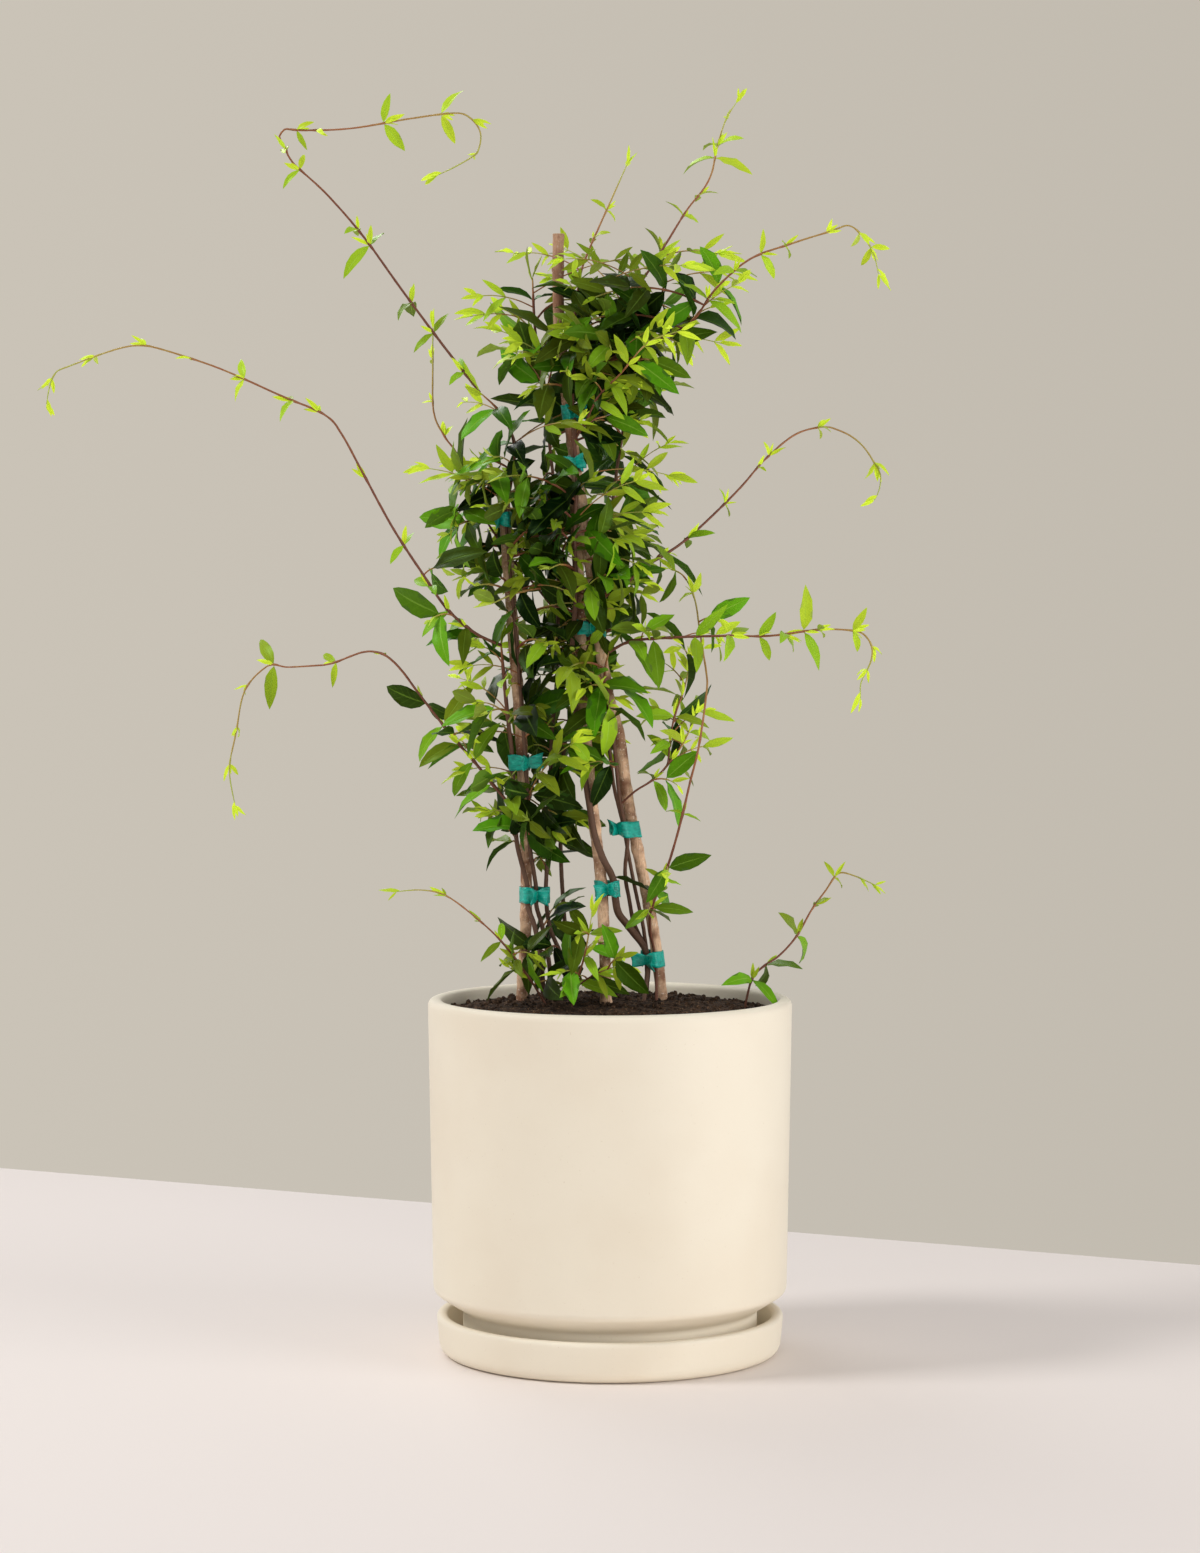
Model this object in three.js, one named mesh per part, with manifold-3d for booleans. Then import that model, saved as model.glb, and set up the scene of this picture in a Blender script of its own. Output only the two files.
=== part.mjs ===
// Potted carolina jasmine: a vine trained up three stakes in a clay pot on a saucer.
// Millimetres, +Z up. The origin is the middle of the saucer's underside, and -Y is the front.

import * as THREE from 'three';
import * as BufferGeometryUtils from 'three/addons/utils/BufferGeometryUtils.js';
import Module from 'manifold-3d';

const wasm = await Module();
wasm.setup();

// Driving sizes of the pot, the saucer and the soil
const POT_RADIUS = 145;
const POT_FOOT_RADIUS = 117;
const POT_WALL = 12;
const POT_TOP = 281;
const POT_TAPER = 4.5;
const POT_FLOOR = 10;
const FOOT_TOP = 35;
const FOOT_INSIDE_TOP = 38;
const BEVEL_TOP = 54;
const DRAIN_RADIUS = 8;
const SAUCER_RADIUS = 138;
const SAUCER_HEIGHT = 32;
const SAUCER_FLOOR = 6;
const SAUCER_WALL = 9;
const SOIL_TOP = 280;
const SOIL_EDGE_TOP = 270;
const SOIL_GAP = 0.3;
const ROUND_SIDES = 32;

// Driving sizes of the stakes, the ties and the vine
const STAKE_RADIUS = 4.7;
const STAKE_SIDES = 8;
const STAKE_DEPTH = 120;
const STAKE_STEP = 60;
const HOLE_GAP = 0.45;
const TIE_HEIGHT = 12.7;
const TIE_THICK = 0.8;
const TIE_GAP = 0.6;
const ROOT_DEPTH = 24;
const PATH_STEP = 5;
const LONGEST_STRIDE = 9;
const STEEP = 0.35;
const BLADE_THICK = 1.3;
const SUNK_SHARE = 0.5;
const TIE_CORNERS = 5;
const TIE_END = 9;
const TIE_END_SPLAY = 34;
const SMALL_LEAF = 23;
const TINY_LEAF = 15.5;
const CANE_SIDES = 4;
const RUNNER_SIDES = 3;

// How far things of different vines stay apart
const OWN_MARGIN = 3;
const OWN_CLEAR = 3.4;
const OWN_SHARE = 0.085;
const STEM_CLEAR = 6;
const STAKE_CLEAR = 8.2;
const TIE_CLEAR = 5.5;
const LEAF_APART = 7.5;
const RIM_CLEAR = 4;
const SOIL_CLEAR = 2.5;

// How a leaf grows. A pair of numbers is the least value and the span of a random draw
const LEAF_LEAN = [0.85, 0.5];
const LEAF_PLUMP = [0.155, 0.05];
const LEAF_DROOP = [0.35, 0.7];
const LEAF_FOLD = [0.22, 0.3];
const LEAF_ROLL = [-0.45, 0.9];
const LEAF_STRETCH = [0.9, 0.2];
const LEAF_TRIES = [0, 0.5, -0.5, 1, -1, 1.6, -1.6];
const BIG_LEAF = 30;
const BIG_SAG = -0.42;
const SMALL_SAG = -0.2;
const LIGHT = [35, -5, 60];
const STALK_SHARE = 0.07;
const WIDEST_POWER = 0.62;
const BLADE_RINGS = [0.22, 0.55];
const SMALL_RINGS = [0.36];
const LEAF_MARKS = [[0.4, -0.9], [0.4, 0.9], [0.4, 0], [0.62, 0], [0.85, 0]];
const LEAF_PLACES = [0.14, 0.28, 0.42, 0.56, 0.7, 0.85, 1];

// How a side shoot grows. Its leaf pairs are [place along it, share of the leaf length, turn in degrees]
const SHOOT_SEED = 40;
const GOLDEN_TURN = 2.399963;
const SHOOT_TURN = [0, 0.8];
const SHOOT_RISE = [0.25, 0.6];
const SHOOT_LEAF = [36, 12];
const SHOOT_TRIES = [0, 0.9, -0.9, 1.8, -1.8];
const SHOOT_STEPS = 4;
const SHOOT_ARCH = 0.24;
const SHOOT_SHORTEST = 22;
const SHOOT_LONGEST = 100;
const SHOOT_LONG = 60;
const SHOOT_THICK = [1.2, 1];
const LONG_PAIRS = [[0.4, 1, 0], [0.7, 1, 90], [0.96, 0.8, 20]];
const SHORT_PAIRS = [[0.6, 1, 0], [0.95, 0.85, 80]];

// Stakes, from the soil up to the cut end
const STAKES = {
  left: [[-71, 18, 277], [-67, 16, 358], [-70, 12, 468], [-77, 10, 566], [-84, 8, 662], [-86, 8, 694]],
  middle: [
    [-3, -28, 277], [-6, -16, 361], [-11, -8, 409], [-17, 0, 460], [-21, 8, 518], [-24, 14, 582],
    [-29, 22, 715],
  ],
  right: [
    [42, 15, 277], [35, 11, 332], [26, 8, 379], [14, 4, 440], [8, 1, 485], [-4, -4, 535],
    [-11, -8, 589], [-19, -10, 649], [-26, -10, 695], [-36, -8, 773], [-41, -6, 832], [-41, -4, 889],
  ],
};

// The bush's outline: at each height its left, right, front and back
const BUSH = [
  [300, -66, 6, -40, 40],
  [391, -98, -22, -44, 52],
  [470, -100, -22, -46, 56],
  [534, -112, -14, -50, 62],
  [566, -122, 64, -62, 66],
  [620, -140, 44, -66, 72],
  [674, -146, 46, -70, 74],
  [730, -104, 42, -70, 74],
  [785, -90, 74, -66, 70],
  [850, -92, 98, -62, 66],
  [900, -50, 66, -40, 44],
];

// Each vine rises from its own hole in the soil. Its first stem is the cane, and the rest branch off it.
// thick: radii spread evenly along the stem. pairs: [place along the stem, leaf length, turn in degrees].
// bushy: the heights between which side shoots stand, and how many.
const VINES = [
  {
    name: 'vine_left_outer',
    bushy: [392, 556, 6],
    stems: [
      {
        route: [[-53, -2, 281], [-55, 0, 311], [-60, 3, 337], [-65.8, 7, 354], [-66.2, 7, 370],
          [-74, 5, 402], [-76, 5, 430], [-77.6, 6.2, 460], [-78.4, 5.8, 476], [-81, 2, 500],
          [-84, 0, 530], [-87, 0, 565]],
        thick: [2.4, 2.2, 2, 1.8],
        pairs: [],
      },
      {
        route: [[-87, 0, 562], [-103, -8, 569], [-117, -16, 579], [-131, -22, 593], [-147, -30, 617],
          [-170, -42, 653], [-193, -54, 696], [-209, -62, 726], [-222, -68, 741], [-255, -80, 755],
          [-301, -92, 775], [-344, -98, 789], [-361, -100, 792], [-380, -100, 789], [-415, -96, 777],
          [-427, -92, 772], [-432, -90, 762], [-435, -88, 748]],
        thick: [1.5, 1.2, 1, 0.8, 0.7],
        pairs: [[0.07, 40, 30], [0.11, 34, 80], [0.17, 27, 10], [0.25, 22, 70], [0.37, 14, 20],
          [0.5, 10, 60], [0.555, 27, 20], [0.64, 22, 70], [0.72, 9, 20], [0.79, 13, 60],
          [0.88, 13, 10], [0.96, 13, 70]],
      },
      {
        route: [[-76, 5, 430], [-94, 6, 451], [-109, 14, 469], [-121, 22, 482], [-134, 30, 497],
          [-155, 44, 523], [-168, 52, 540], [-179, 58, 551], [-189, 64, 556], [-203, 70, 556],
          [-228, 78, 547], [-245, 82, 545], [-266, 86, 544], [-281, 88, 545], [-300, 88, 525],
          [-307, 84, 490], [-312, 80, 460], [-307, 76, 431]],
        thick: [1.5, 1.2, 1, 0.8, 0.7],
        pairs: [[0.07, 40, 20], [0.13, 40, 70], [0.18, 36, 10], [0.23, 42, 60], [0.44, 9, 20],
          [0.545, 22, 70], [0.68, 35, 80], [0.75, 15, 20], [0.84, 15, 60], [0.92, 13, 10]],
      },
    ],
  },
  {
    name: 'vine_left_inner',
    bushy: [384, 724, 10],
    stems: [
      {
        route: [[-46, 8, 281], [-49, 8, 310], [-54, 9, 336], [-59, 11, 354], [-59.4, 11, 370],
          [-64, 3, 402], [-65, 2, 436], [-67, 2.6, 460], [-67.8, 2.4, 476], [-72, -3, 534],
          [-76, -4, 582], [-80, -2, 625], [-82.4, -1.4, 654], [-83.2, -1.6, 670], [-78, -6, 695],
          [-76, -12, 722], [-86, -15, 745], [-103, -18, 762]],
        thick: [2.2, 2, 1.8, 1.6, 1.5, 1.3],
        pairs: [[0.9, 42, 30], [0.96, 40, 80]],
      },
      {
        route: [[-103, -18, 762], [-119, -24, 782], [-139, -30, 808], [-165, -38, 843],
          [-194, -45, 883], [-222, -50, 915], [-248, -54, 939], [-253, -56, 949], [-258, -58, 959],
          [-254, -60, 964], [-237, -62, 963], [-201, -66, 964], [-157, -68, 971], [-124, -64, 976],
          [-112, -60, 975], [-104, -56, 968], [-101, -52, 960], [-103, -48, 950], [-108, -44, 945],
          [-123, -40, 937], [-135, -36, 932]],
        thick: [1.3, 1.1, 0.9, 0.8, 0.7],
        pairs: [[0.04, 24, 40], [0.13, 22, 80], [0.19, 32, 20], [0.31, 34, 60], [0.34, 22, 10],
          [0.47, 20, 70], [0.52, 24, 20], [0.57, 18, 60], [0.6, 14, 10], [0.7, 27, 70], [0.8, 28, 80],
          [0.86, 12, 20], [0.93, 12, 60]],
      },
    ],
  },
  {
    name: 'vine_left_back',
    bushy: [400, 850, 13],
    stems: [
      {
        route: [[-34, 12, 281], [-38, 11, 310], [-47.5, 11.5, 334], [-50.6, 12, 352], [-51.2, 12, 370],
          [-50, 16, 394], [-48, 20, 438], [-47, 24, 486], [-43, 28, 534], [-42, 31, 582],
          [-42, 31, 630], [-44, 27, 679], [-49, 22, 727], [-54, 15, 774], [-60, 14, 815],
          [-62, 10, 856]],
        thick: [2.1, 1.9, 1.7, 1.5, 1.2],
        pairs: [[0.97, 30, 20]],
      },
      {
        route: [[-42, 31, 586], [-62, 30, 612], [-80, 28, 632], [-92, 32, 650], [-111, 37, 682],
          [-123, 42, 715], [-134, 46, 731], [-143, 50, 751], [-144, 54, 789], [-144, 56, 822]],
        thick: [1.1, 0.9, 0.7],
        pairs: [[0.22, 30, 30], [0.35, 26, 80], [0.5, 22, 20], [0.64, 14, 60], [0.76, 11, 10],
          [0.88, 9, 70]],
      },
    ],
  },
  {
    name: 'vine_middle',
    bushy: [540, 812, 12],
    stems: [
      {
        route: [[27, -4, 279], [29, 3, 293], [29.9, 6.5, 303], [28.1, 5.5, 319], [15, -7, 338],
          [7, -17, 349], [4.6, -19, 359], [2.2, -16.6, 377], [-5, -22, 392], [-12, -18.5, 411],
          [-17, -13.5, 439], [-22, -9, 470], [-28, -1, 518], [-30, -5, 560], [-27, -17, 602],
          [-28, -19, 650], [-26.1, -20, 698], [-27.9, -19.8, 714], [-28.2, -18.9, 738],
          [-30, -18.6, 754], [-27, -11, 785], [-14, -4, 803], [-1, 0, 815]],
        thick: [1.7, 3.6, 3.3, 2.9, 2.6, 2.4, 2.2, 2, 1.9, 1.8, 1.6],
        pairs: [],
      },
      {
        route: [[-1, 0, 815], [11, 6, 833], [35, 18, 868], [61, 30, 911], [74, 36, 928],
          [82, 40, 943], [87, 46, 966], [94, 48, 988], [104, 48, 1004]],
        thick: [1.3, 1.1, 0.9, 0.7],
        pairs: [[0.08, 36, 20], [0.2, 32, 80], [0.33, 26, 30], [0.5, 21, 70], [0.58, 19, 10],
          [0.74, 36, 20], [0.79, 27, 60], [0.92, 15, 10]],
      },
      {
        route: [[-27, -11, 785], [-28, 3, 822], [-24, 10, 856], [-18, 16, 876], [-1, 28, 916],
          [14, 40, 951]],
        thick: [1.2, 1, 0.7],
        pairs: [[0.25, 34, 20], [0.4, 28, 70], [0.62, 20, 20], [0.76, 16, 80]],
      },
      {
        route: [[-28, -18, 765], [-4, -25, 784], [28, -24, 800], [62, -22, 815], [83, -34, 842],
          [109, -46, 864], [141, -58, 875], [172, -66, 884], [186, -68, 888], [197, -68, 879],
          [205, -66, 867], [209, -64, 851]],
        thick: [1.3, 1.1, 0.9, 0.7],
        pairs: [[0.12, 40, 20], [0.22, 40, 80], [0.32, 42, 20], [0.42, 36, 60], [0.52, 28, 10],
          [0.6, 22, 70], [0.68, 17, 20], [0.78, 13, 60], [0.88, 18, 10], [0.94, 17, 70]],
      },
      {
        route: [[-28, -19.5, 724], [-19, -34, 738], [-9, -44, 757], [8, -52, 774], [30, -58, 798],
          [55, -62, 807]],
        thick: [1, 0.8, 0.6],
        pairs: [[0.16, 27, 20], [0.32, 30, 70], [0.48, 30, 20], [0.64, 27, 70], [0.78, 24, 20],
          [0.9, 22, 70]],
      },
    ],
  },
  {
    name: 'vine_right_arch',
    bushy: [545, 606, 3],
    stems: [
      {
        route: [[29, 17, 279], [30, 16, 292], [31, 15.5, 303], [29, 14.5, 319], [26, 6, 340],
          [22, 5.5, 358], [17.5, 4.5, 380], [12.6, 2.6, 407], [9.4, 1.4, 423], [3, 0.5, 450],
          [-1.5, -2, 485], [-13, -8, 535], [-18, -5, 552], [-16.4, -1, 567], [-17.6, -1, 583],
          [-12, 5, 594], [0, 5, 603], [12, 2, 609]],
        thick: [1.9, 1.7, 1.6, 1.5],
        pairs: [],
      },
      {
        route: [[12, 2, 609], [26, 8, 623], [55, 24, 642], [79, 38, 663], [106, 52, 690],
          [126, 64, 713], [151, 74, 734], [174, 82, 741], [186, 84, 739], [199, 86, 733],
          [209, 86, 724], [217, 86, 712], [222, 84, 702], [221, 82, 690], [217, 80, 681]],
        thick: [1.4, 1.2, 1, 0.8, 0.7],
        pairs: [[0.07, 36, 20], [0.13, 32, 70], [0.23, 24, 20], [0.37, 16, 60], [0.5, 12, 10],
          [0.56, 14, 70], [0.71, 18, 20], [0.9, 19, 60]],
      },
    ],
  },
  {
    name: 'vine_right_level',
    bushy: [500, 556, 3],
    stems: [
      {
        route: [[28, 26, 279], [29, 24.5, 292], [30, 23.5, 303], [28, 22.5, 319], [19, 13, 340],
          [15.5, 7, 358], [12, 0, 380], [14, -4.4, 407], [11, -5.6, 423], [7, -6, 446], [3, -10, 485],
          [-4, -14.5, 535], [-1, -17, 556]],
        thick: [1.9, 1.8, 1.7],
        pairs: [],
      },
      {
        route: [[-1, -17, 556], [17, -22, 565], [53, -42, 568], [89, -58, 569], [124, -72, 569],
          [154, -82, 573], [170, -86, 574], [187, -88, 573], [196, -88, 570], [202, -88, 561],
          [202, -86, 551], [199, -84, 543], [194, -82, 532], [194, -80, 521]],
        thick: [1.4, 1.2, 1, 0.8, 0.7],
        pairs: [[0.08, 44, 20], [0.15, 40, 80], [0.22, 34, 20], [0.29, 36, 70], [0.4, 34, 10],
          [0.5, 23, 60], [0.57, 30, 20], [0.63, 34, 80], [0.67, 20, 30], [0.76, 20, 70],
          [0.84, 13, 20], [0.92, 12, 70]],
      },
      {
        route: [[9, -5.5, 436], [20, -12, 446], [34, -12, 455], [46, -8, 467], [60, -4, 487],
          [68, 0, 507]],
        thick: [1.1, 0.9, 0.7],
        pairs: [[0.35, 32, 20], [0.55, 34, 70], [0.7, 30, 20], [0.84, 26, 80]],
      },
      {
        route: [[46, -8, 467], [50, -8, 500], [60, -2, 530], [64, 4, 552]],
        thick: [0.9, 0.8, 0.6],
        pairs: [[0.2, 32, 20], [0.42, 32, 70], [0.62, 27, 20], [0.82, 24, 80]],
      },
    ],
  },
  {
    name: 'vine_loop',
    stems: [
      {
        route: [[37, -2, 279], [37, 1, 292], [37, 2.5, 303], [35, 1.5, 319], [32, -8, 334],
          [32, -20, 350], [38, -26, 368], [47, -30, 392], [56, -34, 424], [63, -36, 454],
          [70, -38, 483], [76, -36, 525], [76, -34, 539], [73, -28, 559], [70, -22, 580],
          [68, -14, 595], [63, -6, 610], [56, 0, 619], [47, 2, 623]],
        thick: [1.4, 1.3, 1.1, 0.9, 0.7],
        pairs: [[0.22, 34, 20], [0.29, 18, 70], [0.44, 16, 20], [0.6, 11, 60], [0.78, 16, 10],
          [0.9, 21, 70]],
      },
    ],
  },
  {
    name: 'vine_back',
    bushy: [470, 850, 11],
    stems: [
      {
        route: [[-30, 45, 279], [-36, 43, 330], [-40, 41, 400], [-38, 41, 470], [-25, 39, 540],
          [-10, 37, 600], [0, 35, 660], [8, 34, 720], [20, 30, 780], [36, 22, 822], [46, 6, 862]],
        thick: [2.1, 1.9, 1.7, 1.5, 1.1],
        pairs: [[0.95, 32, 30]],
      },
    ],
  },
  {
    name: 'shoot_low_left',
    stems: [
      {
        route: [[-51, -30, 279], [-66, -40, 304], [-85, -52, 330], [-104, -62, 349], [-127, -72, 367],
          [-146, -78, 372], [-165, -82, 371]],
        thick: [1, 0.8, 0.6],
        pairs: [[0.14, 42, 80], [0.28, 27, 20], [0.4, 23, 70], [0.54, 15, 20], [0.75, 9, 60]],
      },
    ],
  },
  {
    name: 'shoot_low_front',
    stems: [
      {
        route: [[-30, -38, 279], [-26, -42, 298], [-20, -46, 318], [-16, -48, 340], [-14, -48, 352]],
        thick: [1.1, 0.9, 0.7],
        pairs: [[0.28, 34, 20], [0.55, 34, 70], [0.8, 27, 20]],
      },
      {
        route: [[-27, -41, 292], [-14, -52, 303], [2, -58, 310], [14, -60, 310]],
        thick: [0.8, 0.7, 0.6],
        pairs: [[0.45, 24, 20], [0.8, 20, 70]],
      },
    ],
  },
  {
    name: 'shoot_rim_right',
    stems: [
      {
        route: [[108, 0, 276], [113, 2, 295], [121, 6, 304], [136, 12, 314], [150, 18, 329],
          [162, 24, 349], [174, 28, 365], [184, 30, 378], [197, 30, 376], [213, 28, 369]],
        thick: [1.1, 0.9, 0.7],
        pairs: [[0.12, 40, 80], [0.24, 40, 20], [0.45, 40, 60], [0.62, 18, 20], [0.76, 16, 70],
          [0.9, 15, 20]],
      },
    ],
  },
];

// Ties: name, stake, height and the vines that the tape holds to it
const TIES = [
  ['tie_right_low', 'right', 311, ['vine_middle', 'vine_right_arch', 'vine_right_level', 'vine_loop']],
  ['tie_right_high', 'right', 415, ['vine_right_arch', 'vine_right_level']],
  ['tie_middle_low', 'middle', 369, ['vine_middle']],
  ['tie_left_low', 'left', 362, ['vine_left_outer', 'vine_left_inner', 'vine_left_back']],
  ['tie_left_mid', 'left', 468, ['vine_left_outer', 'vine_left_inner']],
  ['tie_right_mid', 'right', 575, ['vine_right_arch']],
  ['tie_left_top', 'left', 662, ['vine_left_inner']],
  ['tie_right_upper', 'right', 706, ['vine_middle']],
  ['tie_right_top', 'right', 746, ['vine_middle']],
];

const MATERIALS = {
  clay: new THREE.MeshStandardMaterial({ color: 0xeee3cb, roughness: 0.72, metalness: 0 }),
  soil: new THREE.MeshStandardMaterial({ color: 0x3a2c22, roughness: 1, metalness: 0 }),
  stake: new THREE.MeshStandardMaterial({ color: 0xa58069, roughness: 0.85, metalness: 0 }),
  tape: new THREE.MeshStandardMaterial({ color: 0x0a9a88, roughness: 0.45, metalness: 0 }),
  vine: new THREE.MeshStandardMaterial({ color: 0x4d7d2b, roughness: 0.5, metalness: 0 }),
};

// Small vector helpers on plain [x, y, z] lists
const add = (a, b) => [a[0] + b[0], a[1] + b[1], a[2] + b[2]];
const take = (a, b) => [a[0] - b[0], a[1] - b[1], a[2] - b[2]];
const grow = (a, k) => [a[0] * k, a[1] * k, a[2] * k];
const dot = (a, b) => a[0] * b[0] + a[1] * b[1] + a[2] * b[2];
const length = (a) => Math.sqrt(dot(a, a));
const unit = (a) => grow(a, 1 / length(a));
const cross = (a, b) => [a[1] * b[2] - a[2] * b[1], a[2] * b[0] - a[0] * b[2], a[0] * b[1] - a[1] * b[0]];
const mix = (a, b, t) => add(grow(a, 1 - t), grow(b, t));
const radians = (degrees) => degrees * Math.PI / 180;
const drawn = ([least, span], draw) => least + span * draw();
const UP = [0, 0, 1];

// A seeded source of random numbers from 0 to 1, the same on every run
function makeDraw(seed) {
  let state = seed;
  const draw = () => {
    state = (state * 16807) % 2147483647;
    return state / 2147483647;
  };
  draw();
  draw();
  draw();
  return draw;
}

// A smooth path through the route's points, with a point about every step
function smoothPath(route, step) {
  const path = [];
  for (let i = 0; i + 1 < route.length; i += 1) {
    const before = route[Math.max(i - 1, 0)];
    const from = route[i];
    const to = route[i + 1];
    const after = route[Math.min(i + 2, route.length - 1)];
    const count = Math.max(1, Math.round(length(take(to, from)) / step));
    for (let k = 0; k < count; k += 1) {
      const t = k / count;
      const point = [0, 1, 2].map((axis) => 0.5 * (
        2 * from[axis] + (to[axis] - before[axis]) * t
        + (2 * before[axis] - 5 * from[axis] + 4 * to[axis] - after[axis]) * t * t
        + (3 * from[axis] - before[axis] - 3 * to[axis] + after[axis]) * t * t * t
      ));
      path.push(point);
    }
  }
  path.push(route[route.length - 1]);
  return path;
}

// The value of an evenly spread list at a place from 0 to 1
function spread(values, place) {
  const at = Math.min(Math.max(place, 0), 1) * (values.length - 1);
  const low = Math.min(Math.floor(at), values.length - 1);
  const high = Math.min(low + 1, values.length - 1);
  return values[low] + (values[high] - values[low]) * (at - low);
}

// The direction in which a path runs at one of its points
function directionAt(path, index) {
  const ahead = path[Math.min(index + 1, path.length - 1)];
  const behind = path[Math.max(index - 1, 0)];
  return unit(take(ahead, behind));
}

// Two directions square to a stem, from which leaves and shoots turn
function squareTo(along) {
  const level = cross(along, UP);
  const first = length(level) > STEEP ? unit(level) : unit(cross(along, [0, 1, 0]));
  return [first, cross(first, along)];
}

// The place in a path of the point nearest to a given point
function nearestIndex(path, point) {
  let best = 0;
  path.forEach((candidate, i) => {
    if (length(take(candidate, point)) < length(take(path[best], point))) {
      best = i;
    }
  });
  return best;
}

// The place in a path of the first point at or above a height
function indexAtHeight(path, height) {
  return Math.max(path.findIndex((point) => point[2] >= height), 0);
}

// The point where a path passes a height
function atHeight(path, height) {
  for (let i = 0; i + 1 < path.length; i += 1) {
    if (path[i][2] <= height && path[i + 1][2] >= height) {
      const rise = path[i + 1][2] - path[i][2];
      return mix(path[i], path[i + 1], rise > 0 ? (height - path[i][2]) / rise : 0);
    }
  }
  return path[path.length - 1];
}

// A closed solid from lists of points and triangles
function solidOf(points, triangles) {
  return new wasm.Manifold(new wasm.Mesh({
    numProp: 3,
    vertProperties: new Float32Array(points.flat()),
    triVerts: new Uint32Array(triangles.flat()),
  }));
}

// A closed solid from a three.js geometry
function solidOfGeometry(geometry) {
  geometry.deleteAttribute('normal');
  geometry.deleteAttribute('uv');
  const merged = BufferGeometryUtils.mergeVertices(geometry, 1e-4);
  return new wasm.Manifold(new wasm.Mesh({
    numProp: 3,
    vertProperties: merged.attributes.position.array,
    triVerts: new Uint32Array(merged.index.array),
  }));
}

// The three.js mesh of a solid: its largest body, with no loose scrap and no sealed hollow
function meshOf(name, solid, material) {
  const bodies = solid.decompose();
  bodies.sort((a, b) => b.volume() - a.volume());
  const data = bodies[0].getMesh();
  const geometry = new THREE.BufferGeometry();
  geometry.setAttribute('position', new THREE.BufferAttribute(new Float32Array(data.vertProperties), 3));
  geometry.setIndex(new THREE.BufferAttribute(new Uint32Array(data.triVerts), 1));
  geometry.computeVertexNormals();
  const mesh = new THREE.Mesh(geometry, material);
  mesh.name = name;
  return mesh;
}

// A closed tube along a path, with a radius at each point and flat ends
function tube(path, radii, sides) {
  const points = [];
  const triangles = [];
  let across = squareTo(unit(take(path[1], path[0])))[0];
  path.forEach((centre, i) => {
    const along = unit(take(path[Math.min(i + 1, path.length - 1)], path[Math.max(i - 1, 0)]));
    across = unit(take(across, grow(along, dot(across, along))));
    const other = cross(along, across);
    const radius = radii[i];
    for (let k = 0; k < sides; k += 1) {
      const turn = 2 * Math.PI * k / sides;
      const out = add(grow(across, Math.cos(turn)), grow(other, Math.sin(turn)));
      points.push(add(centre, grow(out, radius)));
    }
  });
  for (let i = 0; i + 1 < path.length; i += 1) {
    for (let k = 0; k < sides; k += 1) {
      const next = (k + 1) % sides;
      const a = i * sides + k;
      const b = i * sides + next;
      triangles.push([a, b, b + sides], [a, b + sides, a + sides]);
    }
  }
  const last = (path.length - 1) * sides;
  for (let k = 1; k + 1 < sides; k += 1) {
    triangles.push([0, k + 1, k], [last, last + k, last + k + 1]);
  }
  return solidOf(points, triangles);
}

// Clay pot: straight wall, round lip, bevelled underside, narrower foot and a drain hole
function makePot() {
  const inner = POT_RADIUS - POT_WALL;
  const bottom = SAUCER_FLOOR;
  const profile = [
    [DRAIN_RADIUS, bottom],
    [POT_FOOT_RADIUS - 3, bottom],
    [POT_FOOT_RADIUS, bottom + 3],
    [POT_FOOT_RADIUS, FOOT_TOP],
    [POT_RADIUS - 7, BEVEL_TOP - 7],
    [POT_RADIUS - POT_TAPER, BEVEL_TOP],
    [POT_RADIUS, POT_TOP - 19],
    [POT_RADIUS, POT_TOP - 5],
    [POT_RADIUS - 1.6, POT_TOP - 1.6],
    [POT_RADIUS - 5, POT_TOP],
    [inner + 4, POT_TOP - 0.6],
    [inner + 0.8, POT_TOP - 4],
    [inner, POT_TOP - 10],
    [inner - POT_TAPER, BEVEL_TOP + 2],
    [POT_FOOT_RADIUS - POT_WALL, FOOT_INSIDE_TOP],
    [POT_FOOT_RADIUS - POT_WALL, bottom + POT_FLOOR],
    [DRAIN_RADIUS, bottom + POT_FLOOR],
  ];
  return solidOfGeometry(latheOf([...profile, profile[0]], ROUND_SIDES));
}

// A body turned about the upright axis from [radius, height] points
function latheOf(profile, sides) {
  const outline = profile.map(([radius, height]) => new THREE.Vector2(radius, height));
  const geometry = new THREE.LatheGeometry(outline, sides);
  geometry.rotateX(Math.PI / 2);
  return geometry;
}

// Clay saucer: a shallow dish with a round lip, on a flat underside
function makeSaucer() {
  const inner = SAUCER_RADIUS - SAUCER_WALL;
  const profile = [
    [0, 0],
    [SAUCER_RADIUS - 10, 0],
    [SAUCER_RADIUS - 6, 1.5],
    [SAUCER_RADIUS - 3.5, 5],
    [SAUCER_RADIUS, SAUCER_HEIGHT - 5],
    [SAUCER_RADIUS - 1.4, SAUCER_HEIGHT - 1.4],
    [SAUCER_RADIUS - 4.5, SAUCER_HEIGHT],
    [inner + 1.4, SAUCER_HEIGHT - 1.4],
    [inner, SAUCER_HEIGHT - 5],
    [inner - 3, SAUCER_FLOOR + 4],
    [inner - 6, SAUCER_FLOOR],
    [0, SAUCER_FLOOR],
  ];
  return solidOfGeometry(latheOf(profile, ROUND_SIDES));
}

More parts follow.
